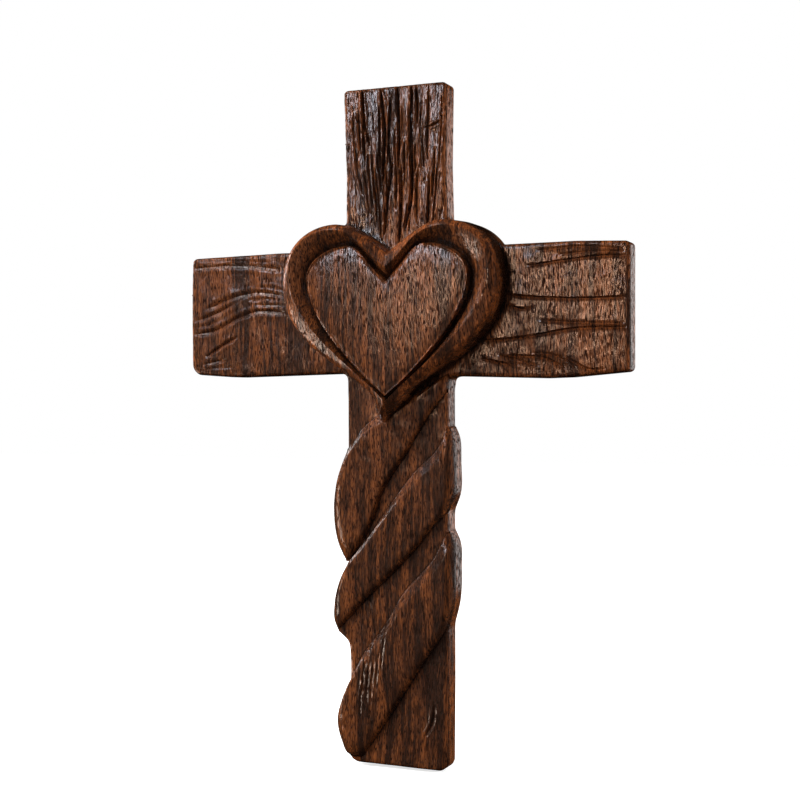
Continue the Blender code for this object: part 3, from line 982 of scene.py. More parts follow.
@dataclass(frozen=True)
class PaintedShadeAndHighlight:
    """Painted shade for the hollows and painted highlight for the ridges, from how far each point lies below
    the heights round it. Sizes in millimetres.

    Args:
        pitch: The side of the squares in which heights are averaged.
        bell_reach: How many reaches round a point still count in its mean.
        wide_reach: How far round a point of the heart its other heights are compared.
        wide_most: The greatest depth that this finds.
        wide_share: The share of that depth that counts.
        near_reach: How far round a point the carved forms are compared.
        board_share: The share of what they give that counts on the board.
        fine_reach: How far round a point of the board the gouge marks are compared.
        groove_weight: What the depth of a gouge mark counts for.
        ridge_weight: What the height of a lip beside one counts for.
        bark: An even darkening of the top arm.
        bark_start: The length over which it sets in above the side arms.
        most: The greatest value, the darkest that is painted.
    """

    pitch: float = .3
    bell_reach: int = 3
    wide_reach: float = 5.0
    wide_most: float = 4.0
    wide_share: float = .50
    near_reach: float = 2.2
    board_share: float = .25
    fine_reach: float = .8
    groove_weight: float = 1.6
    ridge_weight: float = 5.0
    bark: float = .55
    bark_start: float = 6.0
    most: float = 1.25

    def below_mean(self, points: np.ndarray, heights: np.ndarray, reach: float) -> np.ndarray:
        """Compares each height with those around it.

        Args:
            points: The plan points.
            heights: Their heights.
            reach: How far round each point the others count.

        Returns:
            How far each point lies below the mean around it.
        """
        margin = (self.bell_reach + 1) * reach
        low = points.min(axis=0) - margin
        size = ((points.max(axis=0) + margin - low) / self.pitch).astype(int) + 1
        cells = ((points - low) / self.pitch).astype(int)
        total, weight = np.zeros(size), np.zeros(size)
        np.add.at(total, (cells[:, 0], cells[:, 1]), heights)
        np.add.at(weight, (cells[:, 0], cells[:, 1]), 1)
        filled = weight > 0
        total[filled] /= weight[filled]
        weight[filled] = 1
        last = round(self.bell_reach * reach / self.pitch)
        bell = np.exp(-(np.arange(-last, last + 1) * self.pitch / reach)**2)
        bell /= bell.sum()
        for axis in (0, 1):
            total = np.apply_along_axis(np.convolve, axis, total, bell, "same")
            weight = np.apply_along_axis(np.convolve, axis, weight, bell, "same")
        mean = total / np.maximum(weight, TINY)
        return mean[cells[:, 0], cells[:, 1]] - heights

    def depth(self, points: np.ndarray, heights: np.ndarray, forms: np.ndarray, heart: Heart,
              arm_rise: float) -> np.ndarray:
        """Finds how much shade is painted at each point.

        Args:
            points: The plan points.
            heights: Their heights above the back.
            forms: The carved form each belongs to.
            heart: The heart, whose tip stands clear of the hollow at its foot.
            arm_rise: The Z above which the bare board is the top arm.

        Returns:
            A depth for each point, which is below 0 on the ridges, where a highlight is painted.
        """
        # Painted shade: the deeper a point lies below the heights round it, the darker it is painted; points
        # above them are painted brighter.
        raised, board = forms == Form.HEART.value, forms == Form.BOARD.value
        around = np.where(raised, heights, heights.max())
        wide = np.clip(self.below_mean(points, around, self.wide_reach), 0, self.wide_most)
        wide *= 1 - heart.near_tip(points[:, 1])
        bark = np.clip((points[:, 1] - arm_rise) / self.bark_start, 0, 1) * board
        near = self.below_mean(points, heights, self.near_reach)
        fine = self.below_mean(points, heights, self.fine_reach)
        marks = np.where(fine > 0, self.groove_weight, self.ridge_weight) * fine
        near = np.where(board, self.board_share * near + marks, near)
        return np.minimum(near + np.where(raised, self.wide_share * wide, 0) + self.bark * bark, self.most)


def bare(path: np.ndarray, outline: np.ndarray, covered: list[np.ndarray]) -> np.ndarray:
    """Says which points lie within the outline and under none of the forms that cover it."""
    shown = inside(path, outline)
    for above in covered:
        shown &= ~inside(path, above)
    return shown


# Rows round the board's rounded edge, in millimetres from the outline, and down its side walls, as shares.
EDGE_INSETS = (.14, .45, .9, 1.5)
WALL_LEVELS = (.15, .5)
# The unevenness of the board, of the top arm's bark and of the raised forms.
GROUND_SWELLS = (Swell(.12, 17, 3), Swell(.05, 6, 4))
TOP_SWELLS = (Swell(.07, 1.7, 8, .14), Swell(.12, 4, 9, .1))
RAISED_SWELLS = (Swell(.06, 13, 6), Swell(.05, 5, 7))


@dataclass
class Carving:
    """The whole carved face and the piece of wood behind it. Sizes in millimetres.

    Args:
        board: The plain cross.
        heart: The raised heart.
        strands: The strands from the upper one to the lower one.
        stain: Where shade is painted into the hollows and highlight onto the ridges.
        lines: All the lines gouged into the board.
        spacing: The distance between the points of the face.
        top_spacing: The same on the top arm, whose lines are finer.
        row_step: The distance between rows as a share of the spacing, as in a pattern of even triangles.
        gap: The least distance between two points.
        rim_gap: The least distance along the outline.
        foot_gap: How far from a strand's edge the ground at its foot starts.
        foot_room: The least distance along that foot.
        heart_swell: How uneven the heart is as a share of the strands' unevenness.
        back_chamfer: The width of the chamfer round the back.
        back_ease: How far round a crossing of the back's outline its chamfer is left out.
    """

    board: Board = field(default_factory=Board)
    heart: Heart = field(default_factory=Heart)
    strands: list[Strand] = field(default_factory=lambda: STRANDS)
    stain: PaintedShadeAndHighlight = field(default_factory=PaintedShadeAndHighlight)
    lines: list[BarkLine] = field(
        default_factory=lambda: ARM_LINES + TOP_LINES + TopBark().lines() + STEM_LINES)
    spacing: float = .60
    top_spacing: float = .48
    row_step: float = .866
    gap: float = .36
    rim_gap: float = .05
    foot_gap: float = .28
    foot_room: float = .2
    heart_swell: float = .35
    back_chamfer: float = .5
    back_ease: float = 1.5

    def lay_out(self) -> tuple[np.ndarray, np.ndarray, np.ndarray, np.ndarray, np.ndarray]:
        """Lays out the whole carved face.

        Returns:
            The plan points, their heights and forms, the triangles, and the outline's point numbers.
        """
        front = self.board.thickness
        board_outline = self.board.outline(self.spacing)
        stations = self.heart.stations(front)
        heart_outline = self.heart.ring(stations[0][0], self.spacing)
        grids = [strand.grid(front) for strand in self.strands]
        strand_outlines = [self.rim(plan) for plan, _ in grids]
        outline = union_outline([board_outline, heart_outline, *strand_outlines])
        outline = hollows_filled(even_path(outline, self.spacing, closed=True))
        outline = even_path(outline, self.spacing, closed=True)
        plan = Plan(self.gap, outline.min(axis=0), outline.max(axis=0))
        plan.gap = self.rim_gap
        rim_heights = self.outline_heights(outline, [board_outline, heart_outline], grids)
        plan.add(outline, rim_heights, Form.BOARD, Join.CLOSED)
        rim_count = plan.count
        plan.gap = self.gap
        lookups = [HeightLookup(points.reshape(-1, 2), heights.ravel()) for points, heights in grids]
        self.add_heart(plan, stations, outline, strand_outlines, lookups)
        covered = [heart_outline]
        for strand, (points, heights), rim in zip(self.strands, grids, strand_outlines):
            self.add_strand(plan, strand, points, heights, rim, outline, covered)
            covered.append(rim)
        self.add_board(plan, outline, covered)
        points, heights, forms, triangles = plan.triangulate()
        return points, heights, forms, triangles, plan.place[:rim_count]

    def rim(self, plan: np.ndarray) -> np.ndarray:
        """Returns the anticlockwise outline of a strand's grid of points."""
        loop = np.concatenate([plan[:, 0], plan[-1, 1:], plan[::-1, -1][1:], plan[0, ::-1][1:-1]])
        return even_path(loop, self.spacing, closed=True)

    def outline_heights(self, outline: np.ndarray, level: list, grids: list) -> np.ndarray:
        """Finds where the side walls start along the outline.

        Args:
            outline: The whole outline.
            level: The outlines of the forms whose walls start level, just under the board's rounded edge.
            grids: Each strand's plan points and heights.

        Returns:
            The height of each point of the outline, which is that of the nearest form's edge.
        """
        low_edge = self.board.thickness - self.board.edge_round
        known = [np.concatenate([edge, np.full((len(edge), 1), low_edge)], axis=1) for edge in level]
        for plan, rise in grids:
            rows = np.concatenate([plan.reshape(-1, 2), rise.reshape(-1, 1)], axis=1)
            edge = np.zeros(rise.shape, bool)
            edge[0], edge[-1], edge[:, 0], edge[:, -1] = True, True, True, True
            known.append(rows[edge.ravel()])
        known = np.concatenate(known)
        tree = tree_of(known[:, :2])
        return np.array([known[tree.find((x, z, 0))[1], 2] for x, z in outline])

    def add_heart(self, plan: Plan, stations: list, outline: np.ndarray, rims: list, lookups: list) -> None:
        """Adds the heart's rings, the crisp ones first.

        Args:
            plan: The plan to add to.
            stations: The rings, as Heart.stations gives them.
            outline: The whole outline.
            rims: The strands' outlines.
            lookups: The strands' heights, for the foot of the heart's wall where it stands on them.
        """
        for crisp in (True, False):
            for half, height, tip_height, edge in stations:
                if edge != crisp:
                    continue
                ring = self.heart.ring(half, self.heart.spacing)
                heights = height + (tip_height - height) * self.heart.near_tip(ring[:, 1])
                if height == self.board.thickness:
                    for rim, lookup in zip(rims, lookups):
                        under = inside(ring, rim)
                        if under.any():
                            heights[under] = lookup.at(ring[under])
                join = Join.CLOSED if edge else Join.NONE
                plan.add(ring, heights, Form.HEART, join, inside(ring, outline))

    def add_strand(self, plan: Plan, strand: Strand, points: np.ndarray, heights: np.ndarray, rim: np.ndarray,
                   outline: np.ndarray, covered: list) -> None:
        """Adds a strand's edges, the ground at their foot, and its face.

        Args:
            plan: The plan to add to.
            strand: The strand.
            points: Its plan points in rows along it and columns across it.
            heights: Their heights.
            rim: Its outline.
            outline: The whole outline.
            covered: The outlines of the forms that lie over it.
        """
        ridge = int(np.argmin(np.abs(np.linspace(0, 1, points.shape[1]) - RIDGE_SHARE)))
        for column in (0, points.shape[1] - 1, ridge):
            path = points[:, column]
            plan.add(path, heights[:, column], strand.form, Join.OPEN, bare(path, outline, covered))
        for side in (points[:, 0], points[::-1, -1]):
            foot = offset_path(side, -self.foot_gap, closed=False)
            shown = bare(foot, outline, [*covered, rim])
            plan.gap = self.foot_room
            plan.add(foot, self.board.thickness, Form.BOARD, Join.OPEN, shown)
            plan.gap = self.gap
        for row, rises in zip(points, heights):
            plan.add(row, rises, strand.form, Join.NONE, bare(row, outline, covered))

    def add_board(self, plan: Plan, outline: np.ndarray, covered: list) -> None:
        """Adds the plain board with its rounded edge and the middles of the bark lines.

        Args:
            plan: The plan to add to.
            outline: The whole outline.
            covered: The outlines of the forms that lie over the board.
        """
        front, radius = self.board.thickness, self.board.edge_round
        for inset in EDGE_INSETS:
            path = offset_path(outline, inset, closed=True)
            drop = radius - math.sqrt(max(0, radius**2 - (radius - inset)**2))
            plan.add(path, front - drop, Form.BOARD, Join.NONE, bare(path, outline, covered))
        for line in self.lines:
            middle = line.path()
            sides = (-line.step, line.slope) if line.lean else ()
            for path in (middle, *(offset_path(middle, away, closed=False) for away in sides)):
                plan.add(path, front, Form.BOARD, Join.OPEN, bare(path, outline, covered))
        low, high = outline.min(axis=0), outline.max(axis=0)
        for step, bottom, top in ((self.top_spacing, self.board.arm_rise, high[1]),
                                  (self.spacing, low[1], self.board.arm_rise)):
            rows = []
            for number, z in enumerate(np.arange(bottom, top, step * self.row_step)):
                x = np.arange(low[0], high[0], step) + (number % 2) * step / 2
                rows.append(np.stack([x, np.full(len(x), z)], axis=1))
            grid = np.concatenate(rows)
            plan.add(grid, front, Form.BOARD, Join.NONE, bare(grid, outline, covered))

    def work_surface(self, points: np.ndarray, heights: np.ndarray, forms: np.ndarray) -> np.ndarray:
        """Adds what the gouge and the hand left on the carved face.

        Args:
            points: The plan points.
            heights: Their heights above the back.
            forms: The carved form each belongs to.

        Returns:
            The heights of the worked surface.
        """
        worked = heights.copy()
        board, heart = forms == Form.BOARD.value, forms == Form.HEART.value
        strand = forms == Form.THIRD_STRAND.value
        ground = points[board]
        worked[board] += sum(line.carve(ground) for line in self.lines) + total_swell(GROUND_SWELLS, ground)
        worked[strand] += sum(line.carve(points[strand]) for line in STRAND_LINES)
        tip = heart & (points[:, 1] < -self.heart.mitre_start)
        worked[tip] += self.heart.mitre(points[tip])
        top = board & (points[:, 1] > self.board.arm_rise)
        worked[top] += total_swell(TOP_SWELLS, points[top])
        share = np.where(heart, self.heart_swell, 1)[~board]
        worked[~board] += share * total_swell(RAISED_SWELLS, points[~board])
        return worked

    def back(self, outline: np.ndarray) -> tuple[np.ndarray, list]:
        """Draws the back's outline in by the chamfer, less wherever it would cross, and triangulates it.

        Args:
            outline: The whole outline.

        Returns:
            The back's outline, point for point, and what the triangulation gave.
        """
        back = drawn_in(outline, self.back_chamfer)
        lines = [(index, (index + 1) % len(back)) for index in range(len(back))]
        while True:
            made = delaunay_2d_cdt([Vector(point) for point in back], lines, [], 1, MESH_TOLERANCE)
            crossings = np.array([tuple(point) for point, origins in zip(made[0], made[3]) if not origins])
            if not len(crossings):
                return back, made
            apart = np.linalg.norm(back[:, None] - crossings[None], axis=2).min(axis=1)
            back[apart < self.back_ease] = outline[apart < self.back_ease]

    def mesh(self) -> bpy.types.Object:
        """Builds the piece of wood as one closed mesh.

        Returns:
            The new object, whose point attribute says how much shade is painted at each point, below 0 where
            a highlight is painted.
        """
        points, heights, forms, triangles, rim = self.lay_out()
        heights = self.work_surface(points, heights, forms)
        outline = points[rim]
        back, made = self.back(outline)
        levels = [(points, heights)] + [(outline, heights[rim] * (1 - share)) for share in WALL_LEVELS]
        levels += [(outline, np.full(len(rim), self.back_chamfer)), (back, np.zeros(len(rim)))]
        corners = np.concatenate([np.stack([plan[:, 0], -rise, plan[:, 1]], axis=1) for plan, rise in levels])
        faces = triangles.tolist()
        above = rim
        for start in range(len(points), len(corners), len(rim)):
            below = start + np.arange(len(rim))
            faces += np.stack([above, below, np.roll(below, -1), np.roll(above, -1)], axis=1).tolist()
            above = below
        number = np.array([above[origins[0]] for origins in made[3]])
        faces += number[np.array(made[2])][:, ::-1].tolist()
        mesh = bpy.data.meshes.new("carved_walnut")
        mesh.from_pydata((corners * MM).tolist(), [], faces)
        # Painted shade for the hollows and painted highlight for the ridges, kept on each point of the face.
        values = np.zeros(len(corners), np.float32)
        values[:len(points)] = self.stain.depth(points, heights, forms, self.heart, self.board.arm_rise)
        mesh.attributes.new("painted_shade_depth", "FLOAT", "POINT").data.foreach_set("value", values)
        piece = bpy.data.objects.new("carved_walnut", mesh)
        bpy.context.scene.collection.objects.link(piece)
        return piece


@dataclass(frozen=True)
class Keyhole:
    """The slot in the back that takes the head of a screw. Sizes in millimetres.

    Args:
        entry_radius: The radius of the round entry for the screw's head.
        head_radius: The radius of the channel in which the head slides.
        neck_radius: Half the width of the neck, in which the shank slides.
        skin: The thickness of wood that holds the head in.
        depth: The depth of the whole slot.
        travel: How far the screw slides.
        place: The Z of the entry.
        entry_overlap: The share of the channel's depth that the entry's cutter runs into it.
        neck_overlap: The same for the neck's cutters.
        sides: How many sides a round cutter has.
    """

    entry_radius: float = 5.0
    head_radius: float = 4.6
    neck_radius: float = 2.3
    skin: float = 2.2
    depth: float = 7.0
    travel: float = 13.0
    place: float = 66.0
    entry_overlap: float = .6
    neck_overlap: float = .3
    sides: int = 48

    def cut(self, piece: bpy.types.Object) -> None:
        """Cuts the slot.

        Args:
            piece: The piece whose back it is cut into.
        """
        channel = self.depth - self.skin
        entry_end = self.skin + channel * self.entry_overlap
        neck_end = self.skin + channel * self.neck_overlap
        top = self.place + self.travel
        entry = self.bore("entry", self.entry_radius, self.place, -self.skin, entry_end)
        tools = [
            self.bore("channel_low", self.head_radius, self.place, self.skin, self.depth),
            self.bore("channel_high", self.head_radius, top, self.skin, self.depth),
            self.bar("channel", self.head_radius, self.skin, self.depth),
            self.bore("neck_high", self.neck_radius, top, -self.skin, neck_end),
            self.bar("neck", self.neck_radius, -self.skin, neck_end),
        ]
        for tool in tools:
            apply_boolean(entry, tool, "UNION")
        apply_boolean(piece, entry, "DIFFERENCE")

    def bore(self, name: str, radius: float, height: float, near: float, far: float) -> bpy.types.Object:
        """Makes a round cutter.

        Args:
            name: Its name.
            radius: Its radius.
            height: The Z of its middle.
            near: The depth below the back at which it starts, below 0 in front of the back's face.
            far: The depth at which it ends.

        Returns:
            The cutter.
        """
        bpy.ops.object.select_all(action="DESELECT")
        bpy.ops.mesh.primitive_cylinder_add(
            vertices=self.sides, radius=radius * MM, depth=(far - near) * MM, rotation=(math.pi / 2, 0, 0),
            location=(0, -(near + far) / 2 * MM, height * MM))
        bpy.context.object.name = name
        return bpy.context.object

    def bar(self, name: str, radius: float, near: float, far: float) -> bpy.types.Object:
        """Makes a straight cutter as wide as a bore, along the screw's way.

        Args:
            name: Its name.
            radius: Half its width.
            near: The depth below the back at which it starts.
            far: The depth at which it ends.

        Returns:
            The cutter.
        """
        middle = (0, -(near + far) / 2 * MM, (self.place + self.travel / 2) * MM)
        bpy.ops.object.select_all(action="DESELECT")
        bpy.ops.mesh.primitive_cube_add(size=1, location=middle)
        bpy.context.object.scale = (2 * radius * MM, (far - near) * MM, self.travel * MM)
        bpy.context.object.name = name
        return bpy.context.object


def apply_boolean(target: bpy.types.Object, tool: bpy.types.Object, operation: str) -> None:
    """Joins or cuts the target with a tool, which is then removed.

    Args:
        target: The object that changes.
        tool: The object that it is joined or cut with.
        operation: "UNION" or "DIFFERENCE".
    """
    bpy.ops.object.select_all(action="DESELECT")
    bpy.context.view_layer.objects.active = target
    target.select_set(True)
    modifier = target.modifiers.new(operation.title(), "BOOLEAN")
    modifier.operation = operation
    modifier.solver = "MANIFOLD"
    modifier.object = tool
    bpy.ops.object.modifier_apply(modifier=modifier.name)
    bpy.data.objects.remove(tool, do_unlink=True)


def colour(code: str) -> tuple[float, float, float, float]:
    """Turns an sRGB hex colour into the linear one that the shaders take."""
    channels = [int(code[start:start + 2], 16) / 255 for start in (1, 3, 5)]
    return (*(c / 12.92 if c <= .04045 else ((c + .055) / 1.055)**2.4 for c in channels), 1.0)


def add_node(tree: bpy.types.NodeTree, kind: str, links: dict | None = None, inputs: dict | None = None,
             **settings: object) -> bpy.types.Node:
    """Adds a node to a tree.

    Args:
        tree: The node tree.
        kind: The node's type.
        links: The output that feeds each input, by the input's name or number.
        inputs: The constant on each input, by the input's name or number.
        **settings: The node's own properties.

    Returns:
        The new node.
    """
    node = tree.nodes.new(kind)
    for name, value in settings.items():
        setattr(node, name, value)
    for name, value in (inputs or {}).items():
        node.inputs[name].default_value = value
    for name, output in (links or {}).items():
        tree.links.new(output, node.inputs[name])
    return node


def arithmetic(tree: bpy.types.NodeTree, operation: str, links: dict, inputs: dict | None = None
               ) -> bpy.types.NodeSocket:
    """Returns what a Math node makes of its inputs, by their numbers."""
    return add_node(tree, "ShaderNodeMath", links, inputs, operation=operation).outputs[0]


@dataclass(frozen=True)
class Spread:
    """A smooth passage from one result to another as a value goes from a low to a high limit."""

    low: float
    high: float
    start: float = 0.0
    end: float = 1.0

    def of(self, tree: bpy.types.NodeTree, value: bpy.types.NodeSocket) -> bpy.types.NodeSocket:
        """Returns the result for a value."""
        limits = {"From Min": self.low, "From Max": self.high, "To Min": self.start, "To Max": self.end}
        return add_node(tree, "ShaderNodeMapRange", {"Value": value}, limits,
                        interpolation_type="SMOOTHSTEP").outputs[0]


@dataclass(frozen=True)
class Pattern:
    """A noise with grains of a real size in millimetres along X, Y and Z, and the finer noises in it."""

    size: tuple[float, float, float]
    detail: float
    roughness: float

    def of(self, tree: bpy.types.NodeTree, place: bpy.types.NodeSocket) -> bpy.types.bpy_prop_collection:
        """Returns the noise's outputs at a place in millimetres."""
        scaled = add_node(tree, "ShaderNodeMapping", {"Vector": place}, {"Scale": [1 / s for s in self.size]})
        return add_node(tree, "ShaderNodeTexNoise", {"Vector": scaled.outputs[0]},
                        {"Scale": 1.0, "Detail": self.detail, "Roughness": self.roughness}).outputs


@dataclass(frozen=True)
class OiledWalnut:
    """Walnut under a dark stain with a rubbed, half glossy coat of oil; shade is painted into its hollows and
    highlight onto its ridges.

    Its grain runs up the wood, along Z. To the eye it is warm brown with dark bands, short dark dashes where
    the open pores hold stain, hollows of near black painted shade, ridges painted brighter, and a shine that
    breaks off at every pore.

    Args:
        early: The wood of the lighter bands, where the stain was wiped thin.
        late: The wood of the darker bands.
        pore: The stain in the pores and fibres.
        painted_shade_colour: The colour of the painted shade in the hollows.
        ridge_highlight_gain: How much brighter each channel is painted on the ridges, a painted highlight.
        bands: The broad bands.
        streaks: The streaks in them.
        fibres: The fine fibres.
        pores: The pores, about twice as coarse as in walnut so that they show a step away.
        bend: The waves that bend the grain.
        bend_reach: How far they bend it to the side, in millimetres.
        light: The share of early wood, from the bands and streaks together.
        fibre_stain: The share of stain in the fibres.
        pore_stain: The share of stain in the pores.
        painted_hollow_shade: The share of painted shade in the hollows, from the depth kept on each point.
        painted_ridge_highlight: The share of painted highlight on the ridges, from the same depth below 0.
        roughness: The roughness, from that of the oil to that of pores it doesn't fill.
        gloss: The shine, from that of the oil to that of the pores.
        pore_relief: How far down a pore is.
        pore_depth: What a whole pore counts for beside the fibres' relief.
        relief: How strongly the relief shows.
        relief_height: The relief's height in millimetres.
    """

    early: str = "#94532c"
    late: str = "#40261a"
    pore: str = "#1b0f09"
    painted_shade_colour: str = "#0b0604"
    ridge_highlight_gain: tuple[float, float, float, float] = (1.5, 1.4, 1.3, 1)
    bands: Pattern = Pattern((9, 20, 130), 2, .5)
    streaks: Pattern = Pattern((1.5, 3.5, 26), 3, .6)
    fibres: Pattern = Pattern((.40, .8, 5), 2, .6)
    pores: Pattern = Pattern((.34, .5, 2.8), 1, .5)
    bend: Pattern = Pattern((30, 30, 70), 1, .5)
    bend_reach: float = 9.0
    light: Spread = Spread(.82, 1.18)
    fibre_stain: Spread = Spread(.36, .64, .6, 0)
    pore_stain: Spread = Spread(.48, .62, 0, .9)
    painted_hollow_shade: Spread = Spread(.15, 1.6, 0, .93)
    painted_ridge_highlight: Spread = Spread(-.45, -1.3)
    roughness: Spread = Spread(.5, .64, .21, .75)
    gloss: Spread = Spread(.47, .58, .42, .03)
    pore_relief: Spread = Spread(.50, .62)
    pore_depth: float = .9
    relief: float = .55
    relief_height: float = .12

    def mix(self, tree: bpy.types.NodeTree, share: bpy.types.NodeSocket, first: bpy.types.NodeSocket | tuple,
            second: tuple, kind: str = "MIX") -> bpy.types.NodeSocket:
        """Mixes a second colour into a first.

        Args:
            tree: The node tree.
            share: The second colour's share.
            first: The first colour, or the socket that gives it.
            second: The second colour.
            kind: How they are mixed.

        Returns:
            The mixed colour's socket.
        """
        linked = isinstance(first, bpy.types.NodeSocket)
        node = add_node(tree, "ShaderNodeMix", {0: share, 6: first} if linked else {0: share},
                        {7: second} if linked else {6: first, 7: second}, data_type="RGBA", blend_type=kind)
        return node.outputs[2]

    def grain(self, tree: bpy.types.NodeTree) -> bpy.types.NodeSocket:
        """Returns the place in millimetres, bent a little to the side as the grain of real wood is."""
        where = add_node(tree, "ShaderNodeTexCoord").outputs["Object"]
        place = add_node(tree, "ShaderNodeMapping", {"Vector": where}, {"Scale": [1 / MM] * 3}).outputs[0]
        bend = self.bend.of(tree, place)["Color"]
        return add_node(tree, "ShaderNodeVectorMath", {0: bend, 2: place},
                        {1: (self.bend_reach, self.bend_reach, 0)}, operation="MULTIPLY_ADD").outputs[0]

    def material(self) -> bpy.types.Material:
        """Builds the finish.

        Returns:
            The material.
        """
        material = bpy.data.materials.new("oiled_walnut")
        material.use_nodes = True
        tree = material.node_tree
        shader = tree.nodes["Principled BSDF"].inputs
        grain = self.grain(tree)
        bands, streaks, fibres, pores = (
            pattern.of(tree, grain)["Fac"] for pattern in (self.bands, self.streaks, self.fibres, self.pores))
        painted_shade_depth = add_node(tree, "ShaderNodeAttribute", attribute_name="painted_shade_depth").outputs["Fac"]
        light = self.light.of(tree, arithmetic(tree, "ADD", {0: bands, 1: streaks}))
        wood = self.mix(tree, light, colour(self.late), colour(self.early))
        wood = self.mix(tree, self.fibre_stain.of(tree, fibres), wood, colour(self.pore))
        wood = self.mix(tree, self.pore_stain.of(tree, pores), wood, colour(self.pore))
        # Painted shade: the hollows are darkened towards near black.
        wood = self.mix(tree, self.painted_hollow_shade.of(tree, painted_shade_depth), wood, colour(self.painted_shade_colour))
        # Painted highlight: the ridges are painted brighter.
        wood = self.mix(tree, self.painted_ridge_highlight.of(tree, painted_shade_depth), wood, self.ridge_highlight_gain, "MULTIPLY")
        rough, gloss = self.roughness.of(tree, pores), self.gloss.of(tree, pores)
        relief = arithmetic(tree, "MULTIPLY_ADD", {0: self.pore_relief.of(tree, pores), 2: fibres},
                            {1: -self.pore_depth})
        bump = add_node(tree, "ShaderNodeBump", {"Height": relief},
                        {"Strength": self.relief, "Distance": self.relief_height * MM}).outputs[0]
        for name, socket in (("Base Color", wood), ("Roughness", rough), ("Specular IOR Level", gloss),
                             ("Normal", bump)):
            tree.links.new(socket, shader[name])
        return material


@dataclass(frozen=True)
class Lamp:
    """A square soft light that faces the crossing.

    Args:
        name: Its name.
        place: Its place in metres.
        size: Its side in metres.
        power: Its power in watts.
        shines: Whether it shows as a reflection in the oil.
        lights: Whether it lights what isn't glossy.
        tint: Its colour.
    """

    name: str
    place: tuple[float, float, float]
    size: float
    power: float
    shines: bool = True
    lights: bool = True
    tint: str = "#ffffff"

    def hang(self, target: Vector) -> None:
        """Hangs the lamp.

        Args:
            target: The place it faces.
        """
        bpy.ops.object.select_all(action="DESELECT")
        turned = (target - Vector(self.place)).to_track_quat("-Z", "Y").to_euler()
        bpy.ops.object.light_add(type="AREA", location=self.place, rotation=turned)
        lamp = bpy.context.object
        lamp.name = self.name
        lamp.data.size = self.size
        lamp.data.energy = self.power
        lamp.data.color = colour(self.tint)[:3]
        lamp.visible_glossy = self.shines
        lamp.visible_diffuse = self.lights


LAMPS = (
    Lamp("key", (-.85, -.72, .85), .60, 18, shines=False),
    Lamp("glint", (-.70, -.80, 1.0), .30, 5),
    Lamp("sheen", (-.215, -1.0, .10), .12, 1.8, lights=False, tint="#ffcba4"),
    Lamp("upper sheen", (-.41, -1.0, .37), .25, 5.0, lights=False, tint="#eef2ff"),
    Lamp("left sheen", (-.90, -.62, -.30), .32, 6.3, lights=False, tint="#ffe6d2"),
    Lamp("fill", (.10, -1.1, -.15), .60, 2.9, shines=False),
    Lamp("edge", (-1.0, -.03, .25), .40, 6),
    Lamp("rim", (.95, .32, .05), .80, 14, shines=False),
    Lamp("backdrop", (.50, .95, 0), .60, 1.7),
)


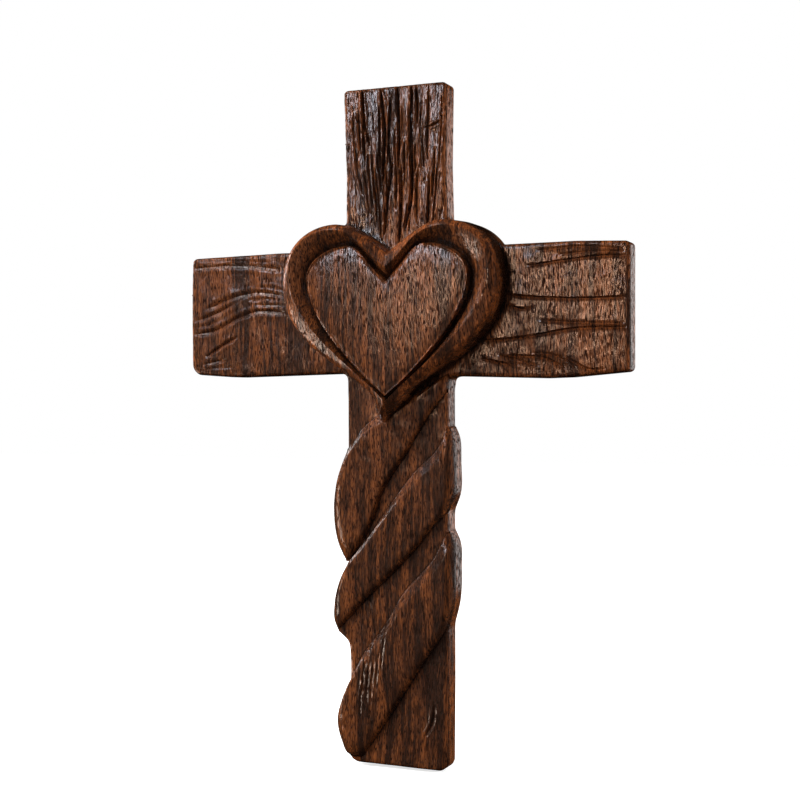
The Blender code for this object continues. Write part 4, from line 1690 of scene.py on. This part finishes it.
@dataclass(frozen=True)
class Studio:
    """A pale floor, soft lights and the camera. Sizes in metres.

    Args:
        floor_height: The Z of the floor, just below the foot.
        floor_size: The floor's side.
        paint: The floor's colour.
        paint_roughness: Its roughness.
        glow_with_painted_shadow: The floor's own light under the cross, lower there as a painted shadow, and
            well away from it, where the floor is evenly pale. glow_with_painted_shadow: The floor's own light
            under the cross and well away from it, where it is as pale as the photo's.
        glow_reach: Where that light starts to grow and where it has grown.
        lit_point: What the lamps face, the crossing.
        surround: How bright the surroundings are for the wood, as a share of how bright the camera sees them.
        distance: The camera's distance from what it aims at.
        turn: How far it stands to the right.
        aim: What it aims at.
        sensor: The width of its picture in millimetres.
        lens: Its focal length in millimetres.
    """

    floor_height: float = -.2012
    floor_size: float = 6.0
    paint: str = "#f4f4f2"
    paint_roughness: float = .9
    glow_with_painted_shadow: tuple[float, float] = (.70, 1.0)
    glow_reach: tuple[float, float] = (.03, .45)
    lit_point: tuple[float, float, float] = (0, 0, -.04)
    surround: float = .10
    distance: float = .644
    turn: float = math.radians(22.3)
    aim: tuple[float, float, float] = (.0013, -.010, -.037)
    sensor: float = 36.0
    lens: float = 65.25

    def floor(self) -> bpy.types.Object:
        """Lays the pale floor.

        Returns:
            The floor.
        """
        bpy.ops.object.select_all(action="DESELECT")
        bpy.ops.mesh.primitive_plane_add(size=self.floor_size, location=(0, 0, self.floor_height))
        floor = bpy.context.object
        floor.name = "floor"
        material = bpy.data.materials.new("pale_floor")
        material.use_nodes = True
        tree = material.node_tree
        shader = tree.nodes["Principled BSDF"].inputs
        shader["Base Color"].default_value = colour(self.paint)
        shader["Roughness"].default_value = self.paint_roughness
        shader["Specular IOR Level"].default_value = 0
        shader["Emission Color"].default_value = (1, 1, 1, 1)
        # The floor glows evenly pale away from the cross and less under it, a painted shadow.
        where = add_node(tree, "ShaderNodeTexCoord").outputs["Object"]
        away = add_node(tree, "ShaderNodeVectorMath", {0: where}, operation="LENGTH").outputs["Value"]
        (near, far), (under, around) = self.glow_reach, self.glow_with_painted_shadow
        glow_with_painted_shadow = add_node(tree, "ShaderNodeMapRange", {"Value": away},
                        {"From Min": near, "From Max": far, "To Min": under, "To Max": around})
        tree.links.new(glow_with_painted_shadow.outputs[0], shader["Emission Strength"])
        floor.visible_diffuse = False
        floor.visible_glossy = False
        floor.data.materials.append(material)
        return floor

    def world(self) -> None:
        """Surrounds the scene with even white, which the camera sees in full and the wood only in part."""
        world = bpy.data.worlds.new("studio")
        bpy.context.scene.world = world
        world.use_nodes = True
        tree = world.node_tree
        back = tree.nodes["Background"].inputs
        back["Color"].default_value = (1, 1, 1, 1)
        path = add_node(tree, "ShaderNodeLightPath").outputs
        strength = arithmetic(tree, "MULTIPLY_ADD", {0: path["Is Diffuse Ray"], 2: path["Is Camera Ray"]},
                              {1: self.surround})
        tree.links.new(strength, back["Strength"])

    def camera(self) -> None:
        """Sets the camera up at the photo's angle."""
        x, y, z = self.aim
        place = (x + math.sin(self.turn) * self.distance, y - math.cos(self.turn) * self.distance, z)
        bpy.ops.object.select_all(action="DESELECT")
        bpy.ops.object.camera_add(location=place, rotation=(math.pi / 2, 0, self.turn))
        camera = bpy.context.object
        camera.data.sensor_width = self.sensor
        camera.data.lens = self.lens
        bpy.context.scene.camera = camera

    def set_up(self) -> bpy.types.Object:
        """Sets up the whole studio.

        Returns:
            Its floor.
        """
        self.world()
        for lamp in LAMPS:
            lamp.hang(Vector(self.lit_point))
        self.camera()
        bpy.context.scene.view_settings.view_transform = "Standard"
        return self.floor()


def finish_mesh(piece: bpy.types.Object, crisp_angle: float = math.radians(38)) -> None:
    """Turns the faces outward and shades the piece smooth.

    Args:
        piece: The piece.
        crisp_angle: The angle from which an edge stays crisp.
    """
    bpy.ops.object.select_all(action="DESELECT")
    bpy.context.view_layer.objects.active = piece
    piece.select_set(True)
    bpy.ops.object.mode_set(mode="EDIT")
    bpy.ops.mesh.select_all(action="SELECT")
    bpy.ops.mesh.normals_make_consistent(inside=False)
    bpy.ops.object.mode_set(mode="OBJECT")
    bpy.ops.object.shade_smooth_by_angle(angle=crisp_angle)


def main() -> None:
    """Builds the cross, gives it its finish and its place in the frame, and sets up the studio."""
    logging.basicConfig(level=logging.INFO, format="%(message)s")
    piece = Carving().mesh()
    Keyhole().cut(piece)
    finish_mesh(piece)
    piece.data.materials.clear()
    piece.data.materials.append(OiledWalnut().material())
    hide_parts("carved_cross")
    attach(piece, "root")
    LOG.info("%s: %d faces", piece.name, len(piece.data.polygons))
    Studio().set_up()


if __name__ == "__main__":
    main()
